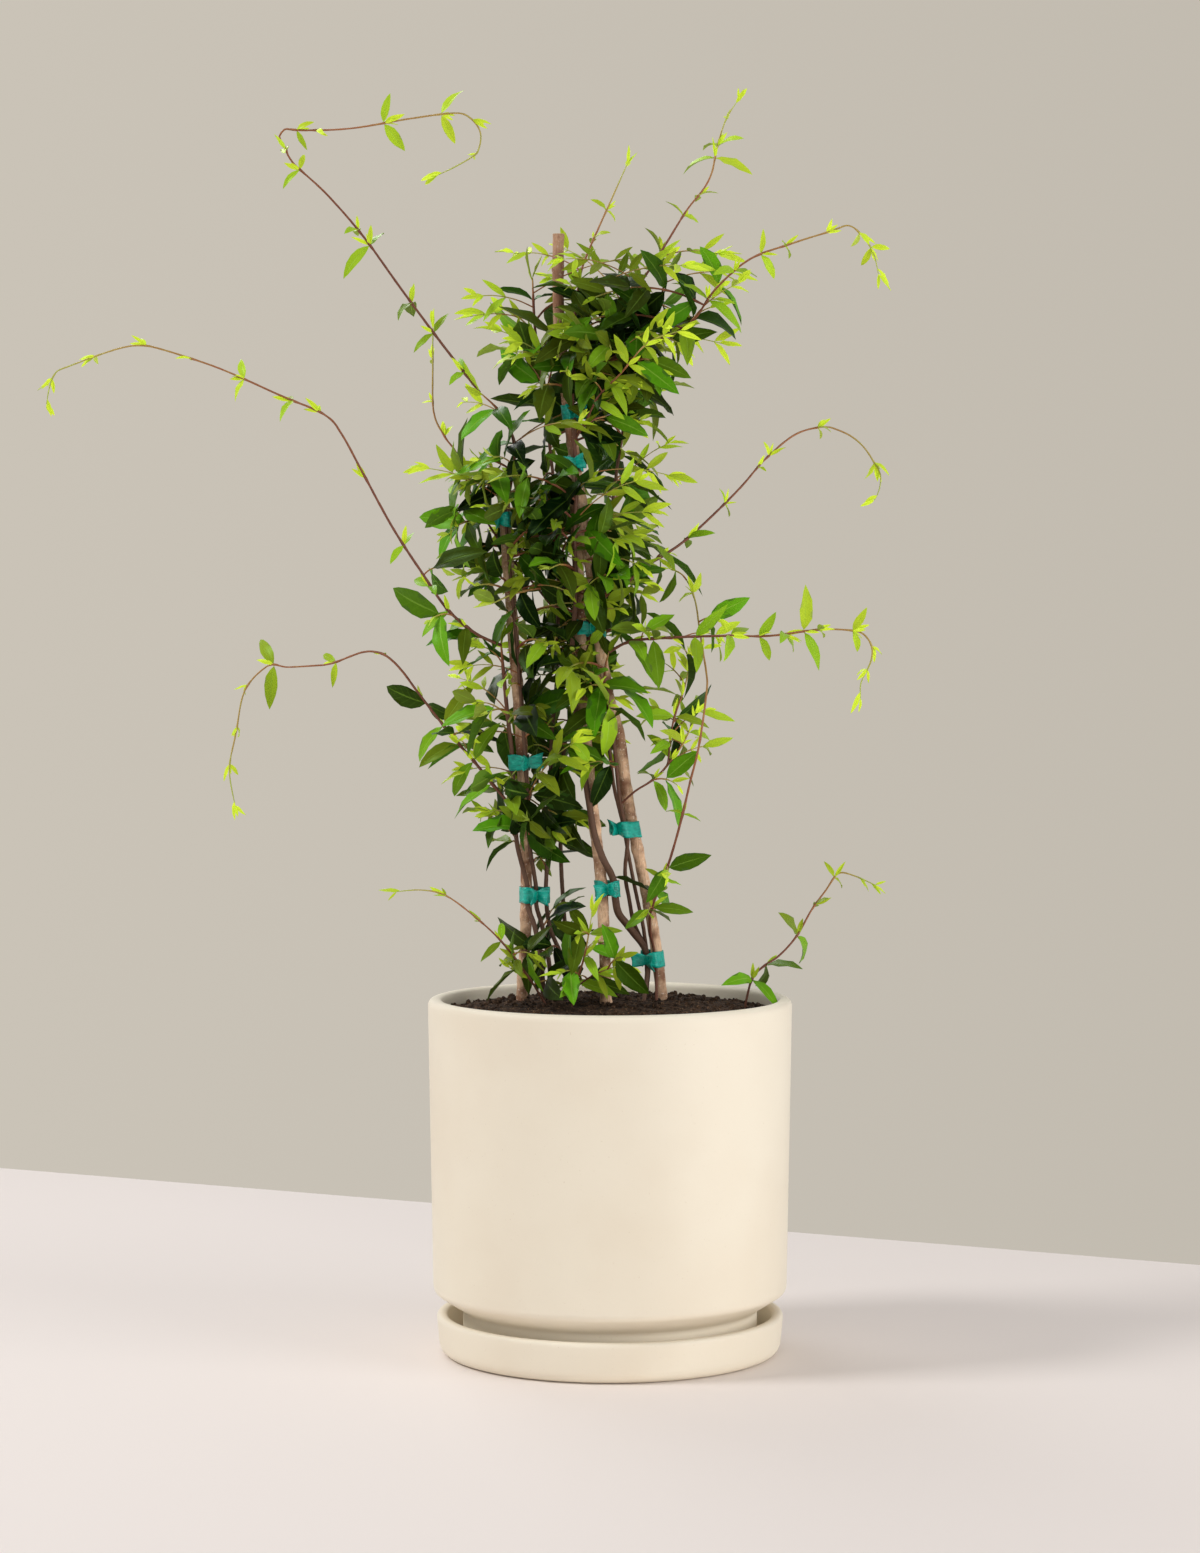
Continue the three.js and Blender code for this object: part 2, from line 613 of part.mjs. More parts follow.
// Height of the mounded soil at a place, with low lumps by formula
function soilHeight(x, y) {
  const share = Math.sqrt(x * x + y * y) / (POT_RADIUS - POT_WALL);
  const mound = SOIL_TOP + (SOIL_EDGE_TOP - SOIL_TOP) * share * share;
  return mound + 1.3 * Math.sin(x * 0.11) * Math.cos(y * 0.13) + 0.7 * Math.sin(x * 0.23 + y * 0.19);
}

// Potting soil: it fills the pot, and its top is mounded and lumpy
function makeSoil() {
  const inner = POT_RADIUS - POT_WALL - SOIL_GAP;
  const floor = SAUCER_FLOOR + POT_FLOOR;
  const foot = POT_FOOT_RADIUS - POT_WALL - SOIL_GAP;
  const profile = [
    [0, floor],
    [foot, floor],
    [foot, FOOT_INSIDE_TOP + SOIL_GAP],
    [inner - POT_TAPER, BEVEL_TOP + 2 + SOIL_GAP],
    [inner - 0.1, SOIL_EDGE_TOP],
    [92, SOIL_TOP],
    [46, SOIL_TOP],
    [0, SOIL_TOP],
  ];
  const geometry = latheOf(profile, ROUND_SIDES);
  const place = geometry.attributes.position;
  for (let i = 0; i < place.count; i += 1) {
    if (place.getZ(i) > SOIL_EDGE_TOP - 1) {
      place.setZ(i, soilHeight(place.getX(i), place.getY(i)));
    }
  }
  return solidOfGeometry(geometry);
}

// A route carried straight down into the soil from its first point
function rooted(route, depth) {
  const first = route[0];
  return [[first[0], first[1], first[2] - depth], ...route];
}

// The corners of the smallest outline round a set of points
function outlineRound(points) {
  const sorted = [...points].sort((a, b) => a[0] - b[0] || a[1] - b[1]);
  const turn = (o, a, b) => (a[0] - o[0]) * (b[1] - o[1]) - (a[1] - o[1]) * (b[0] - o[0]);
  const half = (list) => {
    const kept = [];
    for (const point of list) {
      while (kept.length > 1 && turn(kept[kept.length - 2], kept[kept.length - 1], point) <= 1e-9) {
        kept.pop();
      }
      kept.push(point);
    }
    kept.pop();
    return kept;
  };
  return [...half(sorted), ...half([...sorted].reverse())];
}

// Points round each held stem at a distance past its radius
function roundHeld(held, past) {
  const points = [];
  for (const { centre, radius } of held) {
    const reach = (radius + past) / Math.cos(Math.PI / TIE_CORNERS);
    for (let k = 0; k < TIE_CORNERS; k += 1) {
      const turn = 2 * Math.PI * (k + 0.5) / TIE_CORNERS;
      points.push([centre[0] + reach * Math.cos(turn), centre[1] + reach * Math.sin(turn)]);
    }
  }
  return outlineRound(points);
}

// Nursery tape: a band round a stake and its canes, with two short ends pinched together in front
function makeTie(stakePath, height, held) {
  const lean = leanOf(stakePath, height);
  const asPoints = (list) => list.map(([x, y]) => new THREE.Vector2(x, y));
  const shape = new THREE.Shape(asPoints(roundHeld(held, TIE_GAP + TIE_THICK)));
  shape.holes.push(new THREE.Path(asPoints(roundHeld(held, TIE_GAP))));
  const band = new THREE.ExtrudeGeometry(shape, { depth: TIE_HEIGHT, bevelEnabled: false });
  band.translate(0, 0, height - TIE_HEIGHT / 2);
  const front = roundHeld(held, TIE_GAP).reduce((low, point) => (point[1] < low[1] ? point : low));
  const parts = [band];
  for (const side of [-1, 1]) {
    const end = new THREE.BoxGeometry(TIE_THICK, TIE_END, TIE_HEIGHT * 0.86);
    end.rotateZ(side * radians(TIE_END_SPLAY));
    end.translate(front[0] + side * TIE_END / 4, front[1] - TIE_END * 0.45, height);
    parts.push(end);
  }
  const leant = parts.map((geometry) => {
    const place = geometry.attributes.position;
    for (let i = 0; i < place.count; i += 1) {
      const rise = place.getZ(i) - height;
      place.setXY(i, place.getX(i) + lean[0] * rise, place.getY(i) + lean[1] * rise);
    }
    return solidOfGeometry(geometry);
  });
  return wasm.Manifold.union(leant);
}

// Half the width of a leaf, as a share of its widest, from the stalk at 0 to the tip at 1
function leafWidth(place) {
  const blade = Math.max(0, (place - STALK_SHARE) / (1 - STALK_SHARE));
  return Math.max(STALK_SHARE * (1 - place), Math.sin(Math.PI * Math.pow(blade, WIDEST_POWER)));
}

// The frame of a leaf: where its midrib runs, and its sideways and upward directions
function leafFrame(leaf, place) {
  const bend = leaf.droop * place;
  const reach = leaf.droop > 0.01 ? Math.sin(bend) / leaf.droop : place;
  const drop = leaf.droop > 0.01 ? (1 - Math.cos(bend)) / leaf.droop : 0;
  const run = add(grow(leaf.ahead, leaf.size * reach), grow(leaf.face, -leaf.size * drop));
  const middle = add(leaf.base, run);
  const face = add(grow(leaf.face, Math.cos(bend)), grow(leaf.ahead, Math.sin(bend)));
  return { middle, face, side: leaf.side, half: leaf.half * leafWidth(place) };
}

// A point of a leaf: across is -1 at its left edge, 0 at the midrib and 1 at its right edge
function leafPoint(leaf, place, across) {
  const { middle, face, side, half } = leafFrame(leaf, place);
  const lift = leaf.fold * Math.abs(across) * half;
  return add(middle, add(grow(side, across * half), grow(face, lift)));
}

// A closed blade with a keel under its midrib: its stalk starts as a point inside the stem
function bladeSolid(leaf) {
  const places = leaf.size < SMALL_LEAF ? SMALL_RINGS : BLADE_RINGS;
  const points = [take(leaf.base, grow(leaf.ahead, leaf.sunk))];
  const triangles = [];
  for (const place of places) {
    const keel = grow(leafFrame(leaf, place).face, -BLADE_THICK / 2);
    points.push(leafPoint(leaf, place, -1), add(leafPoint(leaf, place, 0), keel), leafPoint(leaf, place, 1));
  }
  points.push(leafPoint(leaf, 1, 0));
  const tip = points.length - 1;
  for (let k = 0; k < 3; k += 1) {
    const next = (k + 1) % 3;
    triangles.push([0, 1 + k, 1 + next], [tip - 3 + k, tip, tip - 3 + next]);
  }
  for (let ring = 1; ring + 3 < tip; ring += 3) {
    triangles.push(
      [ring, ring + 3, ring + 1], [ring + 1, ring + 3, ring + 4],
      [ring + 1, ring + 4, ring + 2], [ring + 2, ring + 4, ring + 5],
      [ring + 2, ring + 5, ring], [ring, ring + 5, ring + 3],
    );
  }
  return solidOf(points, triangles);
}

// Every stem's fine path, kept by vine, so that leaves can be kept to their own vine's room
const stemPoints = VINES.map(() => []);
const leafMarks = [];
const stakePaths = {};
for (const [name, route] of Object.entries(STAKES)) {
  stakePaths[name] = smoothPath(route, PATH_STEP);
}
const stakePoints = Object.values(stakePaths).flat();

// The smallest distance from a point to a list of points
function nearest(points, point) {
  let best = Infinity;
  for (const other of points) {
    const dx = other[0] - point[0];
    const dy = other[1] - point[1];
    const dz = other[2] - point[2];
    const square = dx * dx + dy * dy + dz * dz;
    if (square < best) {
      best = square;
    }
  }
  return Math.sqrt(best);
}

// True where a point is clear of the pot's rim, the soil, the stakes and the ties
function clearOfHolders(point, stakeClear) {
  const out = Math.sqrt(point[0] * point[0] + point[1] * point[1]);
  if (point[2] < POT_TOP + RIM_CLEAR && out < POT_RADIUS + RIM_CLEAR) {
    const soil = soilHeight(point[0], point[1]);
    return out < POT_RADIUS - POT_WALL - RIM_CLEAR && point[2] > soil + SOIL_CLEAR;
  }
  return nearest(stakePoints, point) > stakeClear && nearest(tiePoints, point) > TIE_CLEAR;
}

// How far the bush reaches from a point in a level direction
function bushReach(point, turn) {
  let row = 0;
  while (row + 2 < BUSH.length && BUSH[row + 1][0] < point[2]) {
    row += 1;
  }
  const share = Math.min(Math.max((point[2] - BUSH[row][0]) / (BUSH[row + 1][0] - BUSH[row][0]), 0), 1);
  const edge = [1, 2, 3, 4].map((side) => BUSH[row][side] * (1 - share) + BUSH[row + 1][side] * share);
  const middle = [(edge[0] + edge[1]) / 2, (edge[2] + edge[3]) / 2];
  const wide = (edge[1] - edge[0]) / 2;
  const deep = (edge[3] - edge[2]) / 2;
  let reach = 0;
  while (reach < SHOOT_LONGEST + SHOOT_SHORTEST) {
    const x = point[0] + reach * Math.cos(turn) - middle[0];
    const y = point[1] + reach * Math.sin(turn) - middle[1];
    if ((x / wide) * (x / wide) + (y / deep) * (y / deep) > 1) {
      break;
    }
    reach += 2;
  }
  return reach;
}

// A side shoot from a cane: it leaves upwards, arches over and ends short of the bush's outline
function shootRoute(start, turn, rise, size) {
  const out = [Math.cos(turn), Math.sin(turn), 0];
  const route = [start];
  let point = start;
  let slope = rise;
  for (let i = 0; i < SHOOT_STEPS; i += 1) {
    const step = size / SHOOT_STEPS;
    point = add(point, add(grow(out, step * Math.cos(slope)), [0, 0, step * Math.sin(slope)]));
    slope -= SHOOT_ARCH;
    route.push(point);
  }
  return route;
}

// True where a shoot stays clear of other vines, stakes, ties and the pot
function shootFits(path, owner) {
  return path.every((point, i) => {
    if (i < 2) {
      return true;
    }
    if (!clearOfHolders(point, STAKE_CLEAR)) {
      return false;
    }
    return stemPoints.every((points, vine) => vine === owner || nearest(points, point) > STEM_CLEAR);
  });
}

// The points by which a leaf is kept apart from the others
function marksOf(leaf) {
  return LEAF_MARKS.map(([place, across]) => leafPoint(leaf, place, across));
}

// True where a leaf stays in its own vine's room and apart from the other leaves
function leafFits(leaf, owner) {
  if (marksOf(leaf).some((mark) => nearest(leafMarks, mark) < LEAF_APART)) {
    return false;
  }
  for (const place of LEAF_PLACES) {
    for (const across of [-1, 0, 1]) {
      const point = leafPoint(leaf, place, across);
      if (!clearOfHolders(point, STAKE_CLEAR)) {
        return false;
      }
      const own = nearest(stemPoints[owner], point);
      if (place > 0.2 && own < Math.min(OWN_CLEAR, OWN_SHARE * leaf.size)) {
        return false;
      }
      if (stemPoints.some((points, vine) => vine !== owner && nearest(points, point) < own + OWN_MARGIN)) {
        return false;
      }
    }
  }
  return true;
}

// One leaf, turned about its stem until it fits, or none
function growLeaf(owner, path, radius, index, size, turn, draw) {
  const point = path[index];
  const along = directionAt(path, index);
  const [first, second] = squareTo(along);
  const lean = drawn(LEAF_LEAN, draw);
  const plump = drawn(LEAF_PLUMP, draw);
  const droop = drawn(LEAF_DROOP, draw);
  const fold = drawn(LEAF_FOLD, draw);
  const roll = drawn(LEAF_ROLL, draw);
  const whole = size * drawn(LEAF_STRETCH, draw);
  const sunk = radius * SUNK_SHARE;
  const sag = [0, 0, size > BIG_LEAF ? BIG_SAG : SMALL_SAG];
  const outward = unit([point[0] + LIGHT[0], point[1] + LIGHT[1], LIGHT[2]]);
  for (const more of LEAF_TRIES) {
    const radial = add(grow(first, Math.cos(turn + more)), grow(second, Math.sin(turn + more)));
    const ahead = unit(add(add(grow(along, Math.cos(lean)), grow(radial, Math.sin(lean))), sag));
    const wanted = add(outward, grow(cross(ahead, outward), roll));
    const face = unit(take(wanted, grow(ahead, dot(wanted, ahead))));
    const side = cross(ahead, face);
    const leaf = { base: point, ahead, face, side, size: whole, half: whole * plump, droop, fold, sunk };
    if (leafFits(leaf, owner)) {
      leafMarks.push(...marksOf(leaf));
      return leaf;
    }
  }
  return null;
}

// A number that names one leaf pair or shoot, so that its draws depend on nothing else
const seedOf = (vine, stem, pair) => 1 + vine * 10007 + stem * 211 + pair * 7;

// The point of a vine's stems nearest to where a branch should start, which becomes a knot of its stem
function branchPoint(stems, wanted) {
  const near = stems.map((stem) => {
    const index = nearestIndex(stem.path, wanted);
    return { stem, index, gap: length(take(stem.path[index], wanted)) };
  });
  const best = near.reduce((low, one) => (one.gap < low.gap ? one : low));
  best.stem.knots.push(best.index);
  return best.stem.path[best.index];
}

// First the canes and runners of every vine, then their ties, then the side shoots
const vineStems = VINES.map((vine, owner) => {
  const grown = [];
  for (const stem of vine.stems) {
    const route = [...stem.route];
    if (grown.length > 0) {
      route[0] = branchPoint(grown, route[0]);
    }
    const path = smoothPath(route, PATH_STEP);
    grown.push({ ...stem, path, sides: grown.length === 0 ? CANE_SIDES : RUNNER_SIDES, knots: [] });
    stemPoints[owner].push(...path);
  }
  return grown;
});

// How far a stake leans sideways for each millimetre that it rises
function leanOf(path, height) {
  const below = atHeight(path, height - TIE_HEIGHT);
  const above = atHeight(path, height + TIE_HEIGHT);
  return [(above[0] - below[0]) / (2 * TIE_HEIGHT), (above[1] - below[1]) / (2 * TIE_HEIGHT)];
}

// What a tie holds, at its lower edge, middle and upper edge, brought to one height along the stake's lean
const heldBy = TIES.map(([, stake, height, vines]) => {
  const lean = leanOf(stakePaths[stake], height);
  return [-1, 0, 1].flatMap((level) => {
    const rise = level * (TIE_HEIGHT / 2 + 1);
    const brought = (point) => [point[0] - lean[0] * rise, point[1] - lean[1] * rise];
    return [
      { centre: brought(atHeight(stakePaths[stake], height + rise)), radius: STAKE_RADIUS },
      ...vines.map((name) => {
        const stem = vineStems[VINES.findIndex((vine) => vine.name === name)][0];
        const index = indexAtHeight(stem.path, height + rise);
        stem.knots.push(index);
        const radius = spread(stem.thick, index / (stem.path.length - 1));
        return { centre: brought(stem.path[index]), radius };
      }),
    ];
  });
});
const tiePoints = TIES.flatMap(([, , height], i) => {
  const ring = roundHeld(heldBy[i], TIE_GAP);
  const closed = [...ring, ring[0]];
  return closed.slice(1).flatMap((corner, k) => [0, 0.5].flatMap((t) => [-5, 0, 5].map((rise) => [
    closed[k][0] * (1 - t) + corner[0] * t, closed[k][1] * (1 - t) + corner[1] * t, height + rise,
  ])));
});

VINES.forEach((vine, owner) => {
  if (!vine.bushy) {
    return;
  }
  const [low, high, count] = vine.bushy;
  const cane = vineStems[owner][0];
  for (let i = 0; i < count; i += 1) {
    const draw = makeDraw(seedOf(owner, SHOOT_SEED + i, 0));
    let index = indexAtHeight(cane.path, low + (high - low) * (i + 0.5 * draw()) / count);
    while (nearest(tiePoints, cane.path[index]) < 2 * TIE_CLEAR) {
      index += 1;
    }
    const start = cane.path[index];
    const turned = GOLDEN_TURN * (i + owner * 3) + drawn(SHOOT_TURN, draw);
    const rise = drawn(SHOOT_RISE, draw);
    for (const more of SHOOT_TRIES) {
      const turn = turned + more;
      const room = bushReach(start, turn) - SHOOT_SHORTEST;
      const size = Math.min(Math.max(room, SHOOT_SHORTEST), SHOOT_LONGEST);
      const path = smoothPath(shootRoute(start, turn, rise, size), PATH_STEP);
      if (shootFits(path, owner)) {
        const leafSize = drawn(SHOOT_LEAF, draw);
        const plan = size > SHOOT_LONG ? LONG_PAIRS : SHORT_PAIRS;
        const pairs = plan.map(([place, share, leafTurn]) => [place, leafSize * share, leafTurn]);
        cane.knots.push(index);
        vineStems[owner].push({ path, thick: SHOOT_THICK, pairs, sides: RUNNER_SIDES, knots: [] });
        stemPoints[owner].push(...path);
        break;
      }
    }
  }
});

// Then the leaves, in opposite pairs, and one leaf at each stem's tip
const vineLeaves = VINES.map((vine, owner) => {
  const leaves = [];
  vineStems[owner].forEach((stem, number) => {
    stem.pairs.forEach(([place, size, turn], pair) => {
      const index = Math.round(place * (stem.path.length - 1));
      const radius = spread(stem.thick, index / (stem.path.length - 1));
      for (const side of size < TINY_LEAF ? [0] : [0, 1]) {
        const draw = makeDraw(seedOf(owner, number, pair * 2 + side + 1));
        const leaf = growLeaf(owner, stem.path, radius, index, size, radians(turn) + Math.PI * side, draw);
        if (leaf) {
          leaves.push(leaf);
          stem.knots.push(index);
        }
      }
    });
  });
  return leaves;
});

// The few points of a stem's path that its tube needs: its ends, its knots and some between them
function tubeIndexes(stem) {
  const last = stem.path.length - 1;
  const fixed = [...new Set([0, ...stem.knots, last])].sort((a, b) => a - b);
  const kept = [0];
  for (let i = 0; i + 1 < fixed.length; i += 1) {
    const count = Math.ceil((fixed[i + 1] - fixed[i]) / LONGEST_STRIDE);
    for (let k = 1; k <= count; k += 1) {
      kept.push(fixed[i] + Math.round((fixed[i + 1] - fixed[i]) * k / count));
    }
  }
  return kept;
}

// A stem's tube, made wider by a gap where it stands for the hole round it. A cane goes down into the soil
function stemTube(stem, wider) {
  const indexes = tubeIndexes(stem);
  const path = indexes.map((index) => stem.path[index]);
  const radii = indexes.map((index) => spread(stem.thick, index / (stem.path.length - 1)) + wider);
  if (stem.sides === CANE_SIDES) {
    path.unshift(take(path[0], [0, 0, ROOT_DEPTH + wider]));
    radii.unshift(radii[0]);
  }
  return tube(path, radii, stem.sides);
}

// A stake's tube, made wider by a gap where it stands for the hole round it
function stakeTube(route, wider) {
  const path = smoothPath(rooted(route, STAKE_DEPTH + wider), STAKE_STEP);
  return tube(path, path.map(() => STAKE_RADIUS + wider), STAKE_SIDES);
}

// A vine as one body: its tubes with every blade fused in
function makeVine(owner) {
  const parts = vineStems[owner].map((stem) => stemTube(stem, 0));
  parts.push(...vineLeaves[owner].map(bladeSolid));
  return wasm.Manifold.union(parts);
}

// The soil with a plain hole round each stake and cane
function soilWithHoles() {
  const holes = Object.values(STAKES).map((route) => stakeTube(route, HOLE_GAP));
  holes.push(...vineStems.map((stems) => stemTube(stems[0], HOLE_GAP)));
  return holes.reduce((soil, hole) => soil.subtract(hole), makeSoil());
}

const plant = new THREE.Group();
plant.add(meshOf('saucer', makeSaucer(), MATERIALS.clay));
plant.add(meshOf('pot', makePot(), MATERIALS.clay));
plant.add(meshOf('soil', soilWithHoles(), MATERIALS.soil));
for (const [name, route] of Object.entries(STAKES)) {
  plant.add(meshOf(`stake_${name}`, stakeTube(route, 0), MATERIALS.stake));
}
TIES.forEach(([name, stake, height], i) => {
  plant.add(meshOf(name, makeTie(stakePaths[stake], height, heldBy[i]), MATERIALS.tape));
});
VINES.forEach((vine, owner) => {
  plant.add(meshOf(vine.name, makeVine(owner), MATERIALS.vine));
});

export default plant;
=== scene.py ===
# %% [markdown]
# Potted carolina jasmine
#
# A twining vine is tied to three wooden stakes in a cream clay pot. Its long free runners lean out of the
# bush. The solids in the frame give every piece its place and size. This script dresses them: it turns the
# clay smoothly, crumbles the soil, gives the stakes their bark, and grows finer leaves where the solids
# have their plain ones. Everything is in metres, +Z is up, and the viewer of the photograph stands on the
# -Y side.

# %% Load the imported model
import math

import bmesh
import bpy
import numpy as np
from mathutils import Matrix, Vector
from mathutils import noise as fractal


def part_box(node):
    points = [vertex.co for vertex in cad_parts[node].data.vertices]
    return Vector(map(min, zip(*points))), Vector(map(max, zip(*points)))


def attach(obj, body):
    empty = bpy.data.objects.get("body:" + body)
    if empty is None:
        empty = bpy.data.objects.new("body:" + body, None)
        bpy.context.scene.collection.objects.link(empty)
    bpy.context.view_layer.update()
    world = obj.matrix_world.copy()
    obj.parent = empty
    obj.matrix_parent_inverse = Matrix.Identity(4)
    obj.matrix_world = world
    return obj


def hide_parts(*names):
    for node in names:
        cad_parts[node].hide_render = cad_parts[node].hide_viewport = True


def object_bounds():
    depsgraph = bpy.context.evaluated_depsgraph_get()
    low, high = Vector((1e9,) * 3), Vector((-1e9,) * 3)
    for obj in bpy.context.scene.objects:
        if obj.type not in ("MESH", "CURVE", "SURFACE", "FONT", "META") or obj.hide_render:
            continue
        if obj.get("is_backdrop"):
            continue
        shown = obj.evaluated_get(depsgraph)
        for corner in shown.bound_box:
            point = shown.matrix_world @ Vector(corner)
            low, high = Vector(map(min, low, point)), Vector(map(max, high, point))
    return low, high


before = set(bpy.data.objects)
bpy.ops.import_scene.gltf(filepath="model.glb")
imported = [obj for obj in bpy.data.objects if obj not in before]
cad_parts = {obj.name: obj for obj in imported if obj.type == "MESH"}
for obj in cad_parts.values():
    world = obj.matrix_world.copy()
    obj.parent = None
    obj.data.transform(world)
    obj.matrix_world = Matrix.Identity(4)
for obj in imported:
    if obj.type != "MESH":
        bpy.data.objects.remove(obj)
CAD_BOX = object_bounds()
MM = 0.001
BODY = "root"
print("nodes", len(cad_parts))
print("CAD box", [tuple(round(value, 3) for value in corner) for corner in CAD_BOX])

# %% [markdown]
# A small language for node maths
#
# Shader trees and geometry trees hold the same Math nodes, and a formula of many nodes is hard to read. The
# class below wraps one socket, so that a formula is written as ordinary Python and each operator adds its
# own node.

# %% Wrap sockets so that formulas read as formulas


class Wire:
    """An output socket in a node tree, with arithmetic that adds nodes."""

    def __init__(self, tree, socket):
        self.tree = tree
        self.socket = socket

    def node(self, kind, settings=None, **values):
        """A new node of a type, with its settings first and then its inputs, which are named or numbered."""
        made = self.tree.nodes.new(kind)
        for name, value in (settings or {}).items():
            if name == "stops":
                set_stops(made.color_ramp, value)
            else:
                setattr(made, name, value)
        for name, value in values.items():
            socket = made.inputs[int(name[1:])] if name[0] == "_" else made.inputs[name.replace("_", " ")]
            put(self.tree, socket, value)
        return made

    def maths(self, operation, *others):
        """This number and some others through one Math node."""
        inputs = {f"_{at}": value for at, value in enumerate((self, *others))}
        return Wire(self.tree, self.node("ShaderNodeMath", {"operation": operation}, **inputs).outputs[0])

    def swapped(self, operation, other):
        """A number first and this socket second, for the reflected operators."""
        made = self.node("ShaderNodeMath", {"operation": operation}, _0=other, _1=self)
        return Wire(self.tree, made.outputs[0])

    def __add__(self, other):
        return self.maths("ADD", other)

    def __radd__(self, other):
        return self.swapped("ADD", other)

    def __sub__(self, other):
        return self.maths("SUBTRACT", other)

    def __rsub__(self, other):
        return self.swapped("SUBTRACT", other)

    def __mul__(self, other):
        return self.maths("MULTIPLY", other)

    def __rmul__(self, other):
        return self.swapped("MULTIPLY", other)

    def __truediv__(self, other):
        return self.maths("DIVIDE", other)

    def __rtruediv__(self, other):
        return self.swapped("DIVIDE", other)

    def __pow__(self, other):
        return self.maths("POWER", other)

    def size(self):
        """The absolute value."""
        return self.maths("ABSOLUTE")

    def between(self, low, high):
        """0 below low, 1 above high and a smooth step from one to the other."""
        settings = {"interpolation_type": "SMOOTHSTEP"}
        made = self.node("ShaderNodeMapRange", settings, _0=self, _1=low, _2=high)
        return Wire(self.tree, made.outputs[0])

    def vector(self, operation, *others):
        """This vector and some others through one Vector Math node."""
        made = self.node("ShaderNodeVectorMath", {"operation": operation})
        for at, value in enumerate((self, *others)):
            socket = made.inputs["Scale" if operation == "SCALE" and at == 1 else at]
            put(self.tree, socket, value)
        return Wire(self.tree, made.outputs["Value" if operation == "DOT_PRODUCT" else "Vector"])

    def part(self, axis):
        """One of the three numbers of a vector."""
        return Wire(self.tree, self.node("ShaderNodeSeparateXYZ", _0=self).outputs[axis])


def set_stops(ramp, stops):
    """Gives a colour ramp its stops, as pairs of a place and a colour."""
    while len(ramp.elements) < len(stops):
        ramp.elements.new(0.5)
    for element, (place, shade) in zip(ramp.elements, stops):
        element.position = place
        element.color = shade


def put(tree, socket, value):
    """Gives an input a link or a plain value."""
    if isinstance(value, Wire):
        tree.links.new(value.socket, socket)
    else:
        socket.default_value = value


def feed(shader, **values):
    """Gives inputs of a shader their wires or plain values."""
    for name, value in values.items():
        put(shader.id_data, shader.inputs[name.replace("_", " ")], value)


def outlet(tree, kind, output=0, settings=None, **values):
    """One of the outputs of a new node, as a wire."""
    made = Wire(tree, None).node(kind, settings, **values)
    return Wire(tree, made.outputs[output])


def mixed(factor, low, high):
    """A colour between two others."""
    made = factor.node("ShaderNodeMix", {"data_type": "RGBA"})
    for at, value in ((0, factor), (6, low), (7, high)):
        put(factor.tree, made.inputs[at], value)
    return Wire(factor.tree, made.outputs[2])


# %% Turn screen colours into the numbers that shaders use
def colour(red, green, blue):
    """A colour given as 0 to 255 on the screen, as linear light, by the sRGB curve."""
    shares = [value / 255 for value in (red, green, blue)]
    linear = [share / 12.92 if share < 0.04045 else ((share + 0.055) / 1.055) ** 2.4 for share in shares]
    return (*linear, 1.0)


# %% Start a material with its pattern in object space
def surface(name, roughness):
    """A new material: its tree, its shader and the object's own coordinates."""
    material = bpy.data.materials.new(name)
    material.use_nodes = True
    tree = material.node_tree
    shader = tree.nodes["Principled BSDF"]
    feed(shader, Roughness=roughness)
    place = outlet(tree, "ShaderNodeTexCoord", "Object")
    return material, tree, shader, place


def noise(place, scale, detail=4.0, roughness=0.55):
    """Smooth noise from 0 to 1 at a place, with features of about 1 / scale metres."""
    facts = {"Vector": place, "Scale": scale, "Detail": detail, "Roughness": roughness}
    return outlet(place.tree, "ShaderNodeTexNoise", "Fac", **facts)


def bump(shader, height, distance, strength=1.0):
    """Lets a height in shares of a distance tilt a shader's normal."""
    made = height.node("ShaderNodeBump", Height=height, Distance=distance, Strength=strength)
    height.tree.links.new(made.outputs["Normal"], shader.inputs["Normal"])


# %% Finish a piece: its surface, its body and what it stands for
def finished(piece, stands_for=()):
    """Smooths a piece, lets it ride on the body and hides the solids' nodes that it stands for."""
    for face in piece.data.polygons:
        face.use_smooth = True
    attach(piece, BODY)
    if stands_for:
        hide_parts(*stands_for)
    print(piece.name, "faces", len(piece.data.polygons))


def in_scene(name, data):
    """A new object in the scene, from a mesh, a lens or a lamp."""
    made = bpy.data.objects.new(name, data)
    bpy.context.scene.collection.objects.link(made)
    return made


def piece_from(name, points, faces, material):
    """A mesh object at the origin from points in metres and faces."""
    mesh = bpy.data.meshes.new(name)
    mesh.from_pydata([tuple(point) for point in points], [], faces)
    mesh.materials.append(material)
    return in_scene(name, mesh)


# %% [markdown]
# The camera
#
# The photograph's pot has upright sides, so its camera was level and the picture was framed by shifting the
# lens. The height of the horizon comes from the round rims: they look flattest where the camera stands
# level with them. The distance comes from how much the saucer's rim opens below that height.

# %% Place the camera as the photographer did
FRAME_WIDE = 1200
FRAME_HIGH = 1553
CAMERA_AWAY = 2.8
CAMERA_HIGH = 0.558
FOCAL_PIXELS = 3513
AXIS_PIXEL = 610
HORIZON_PIXEL = 650
SENSOR_WIDE = 36.0

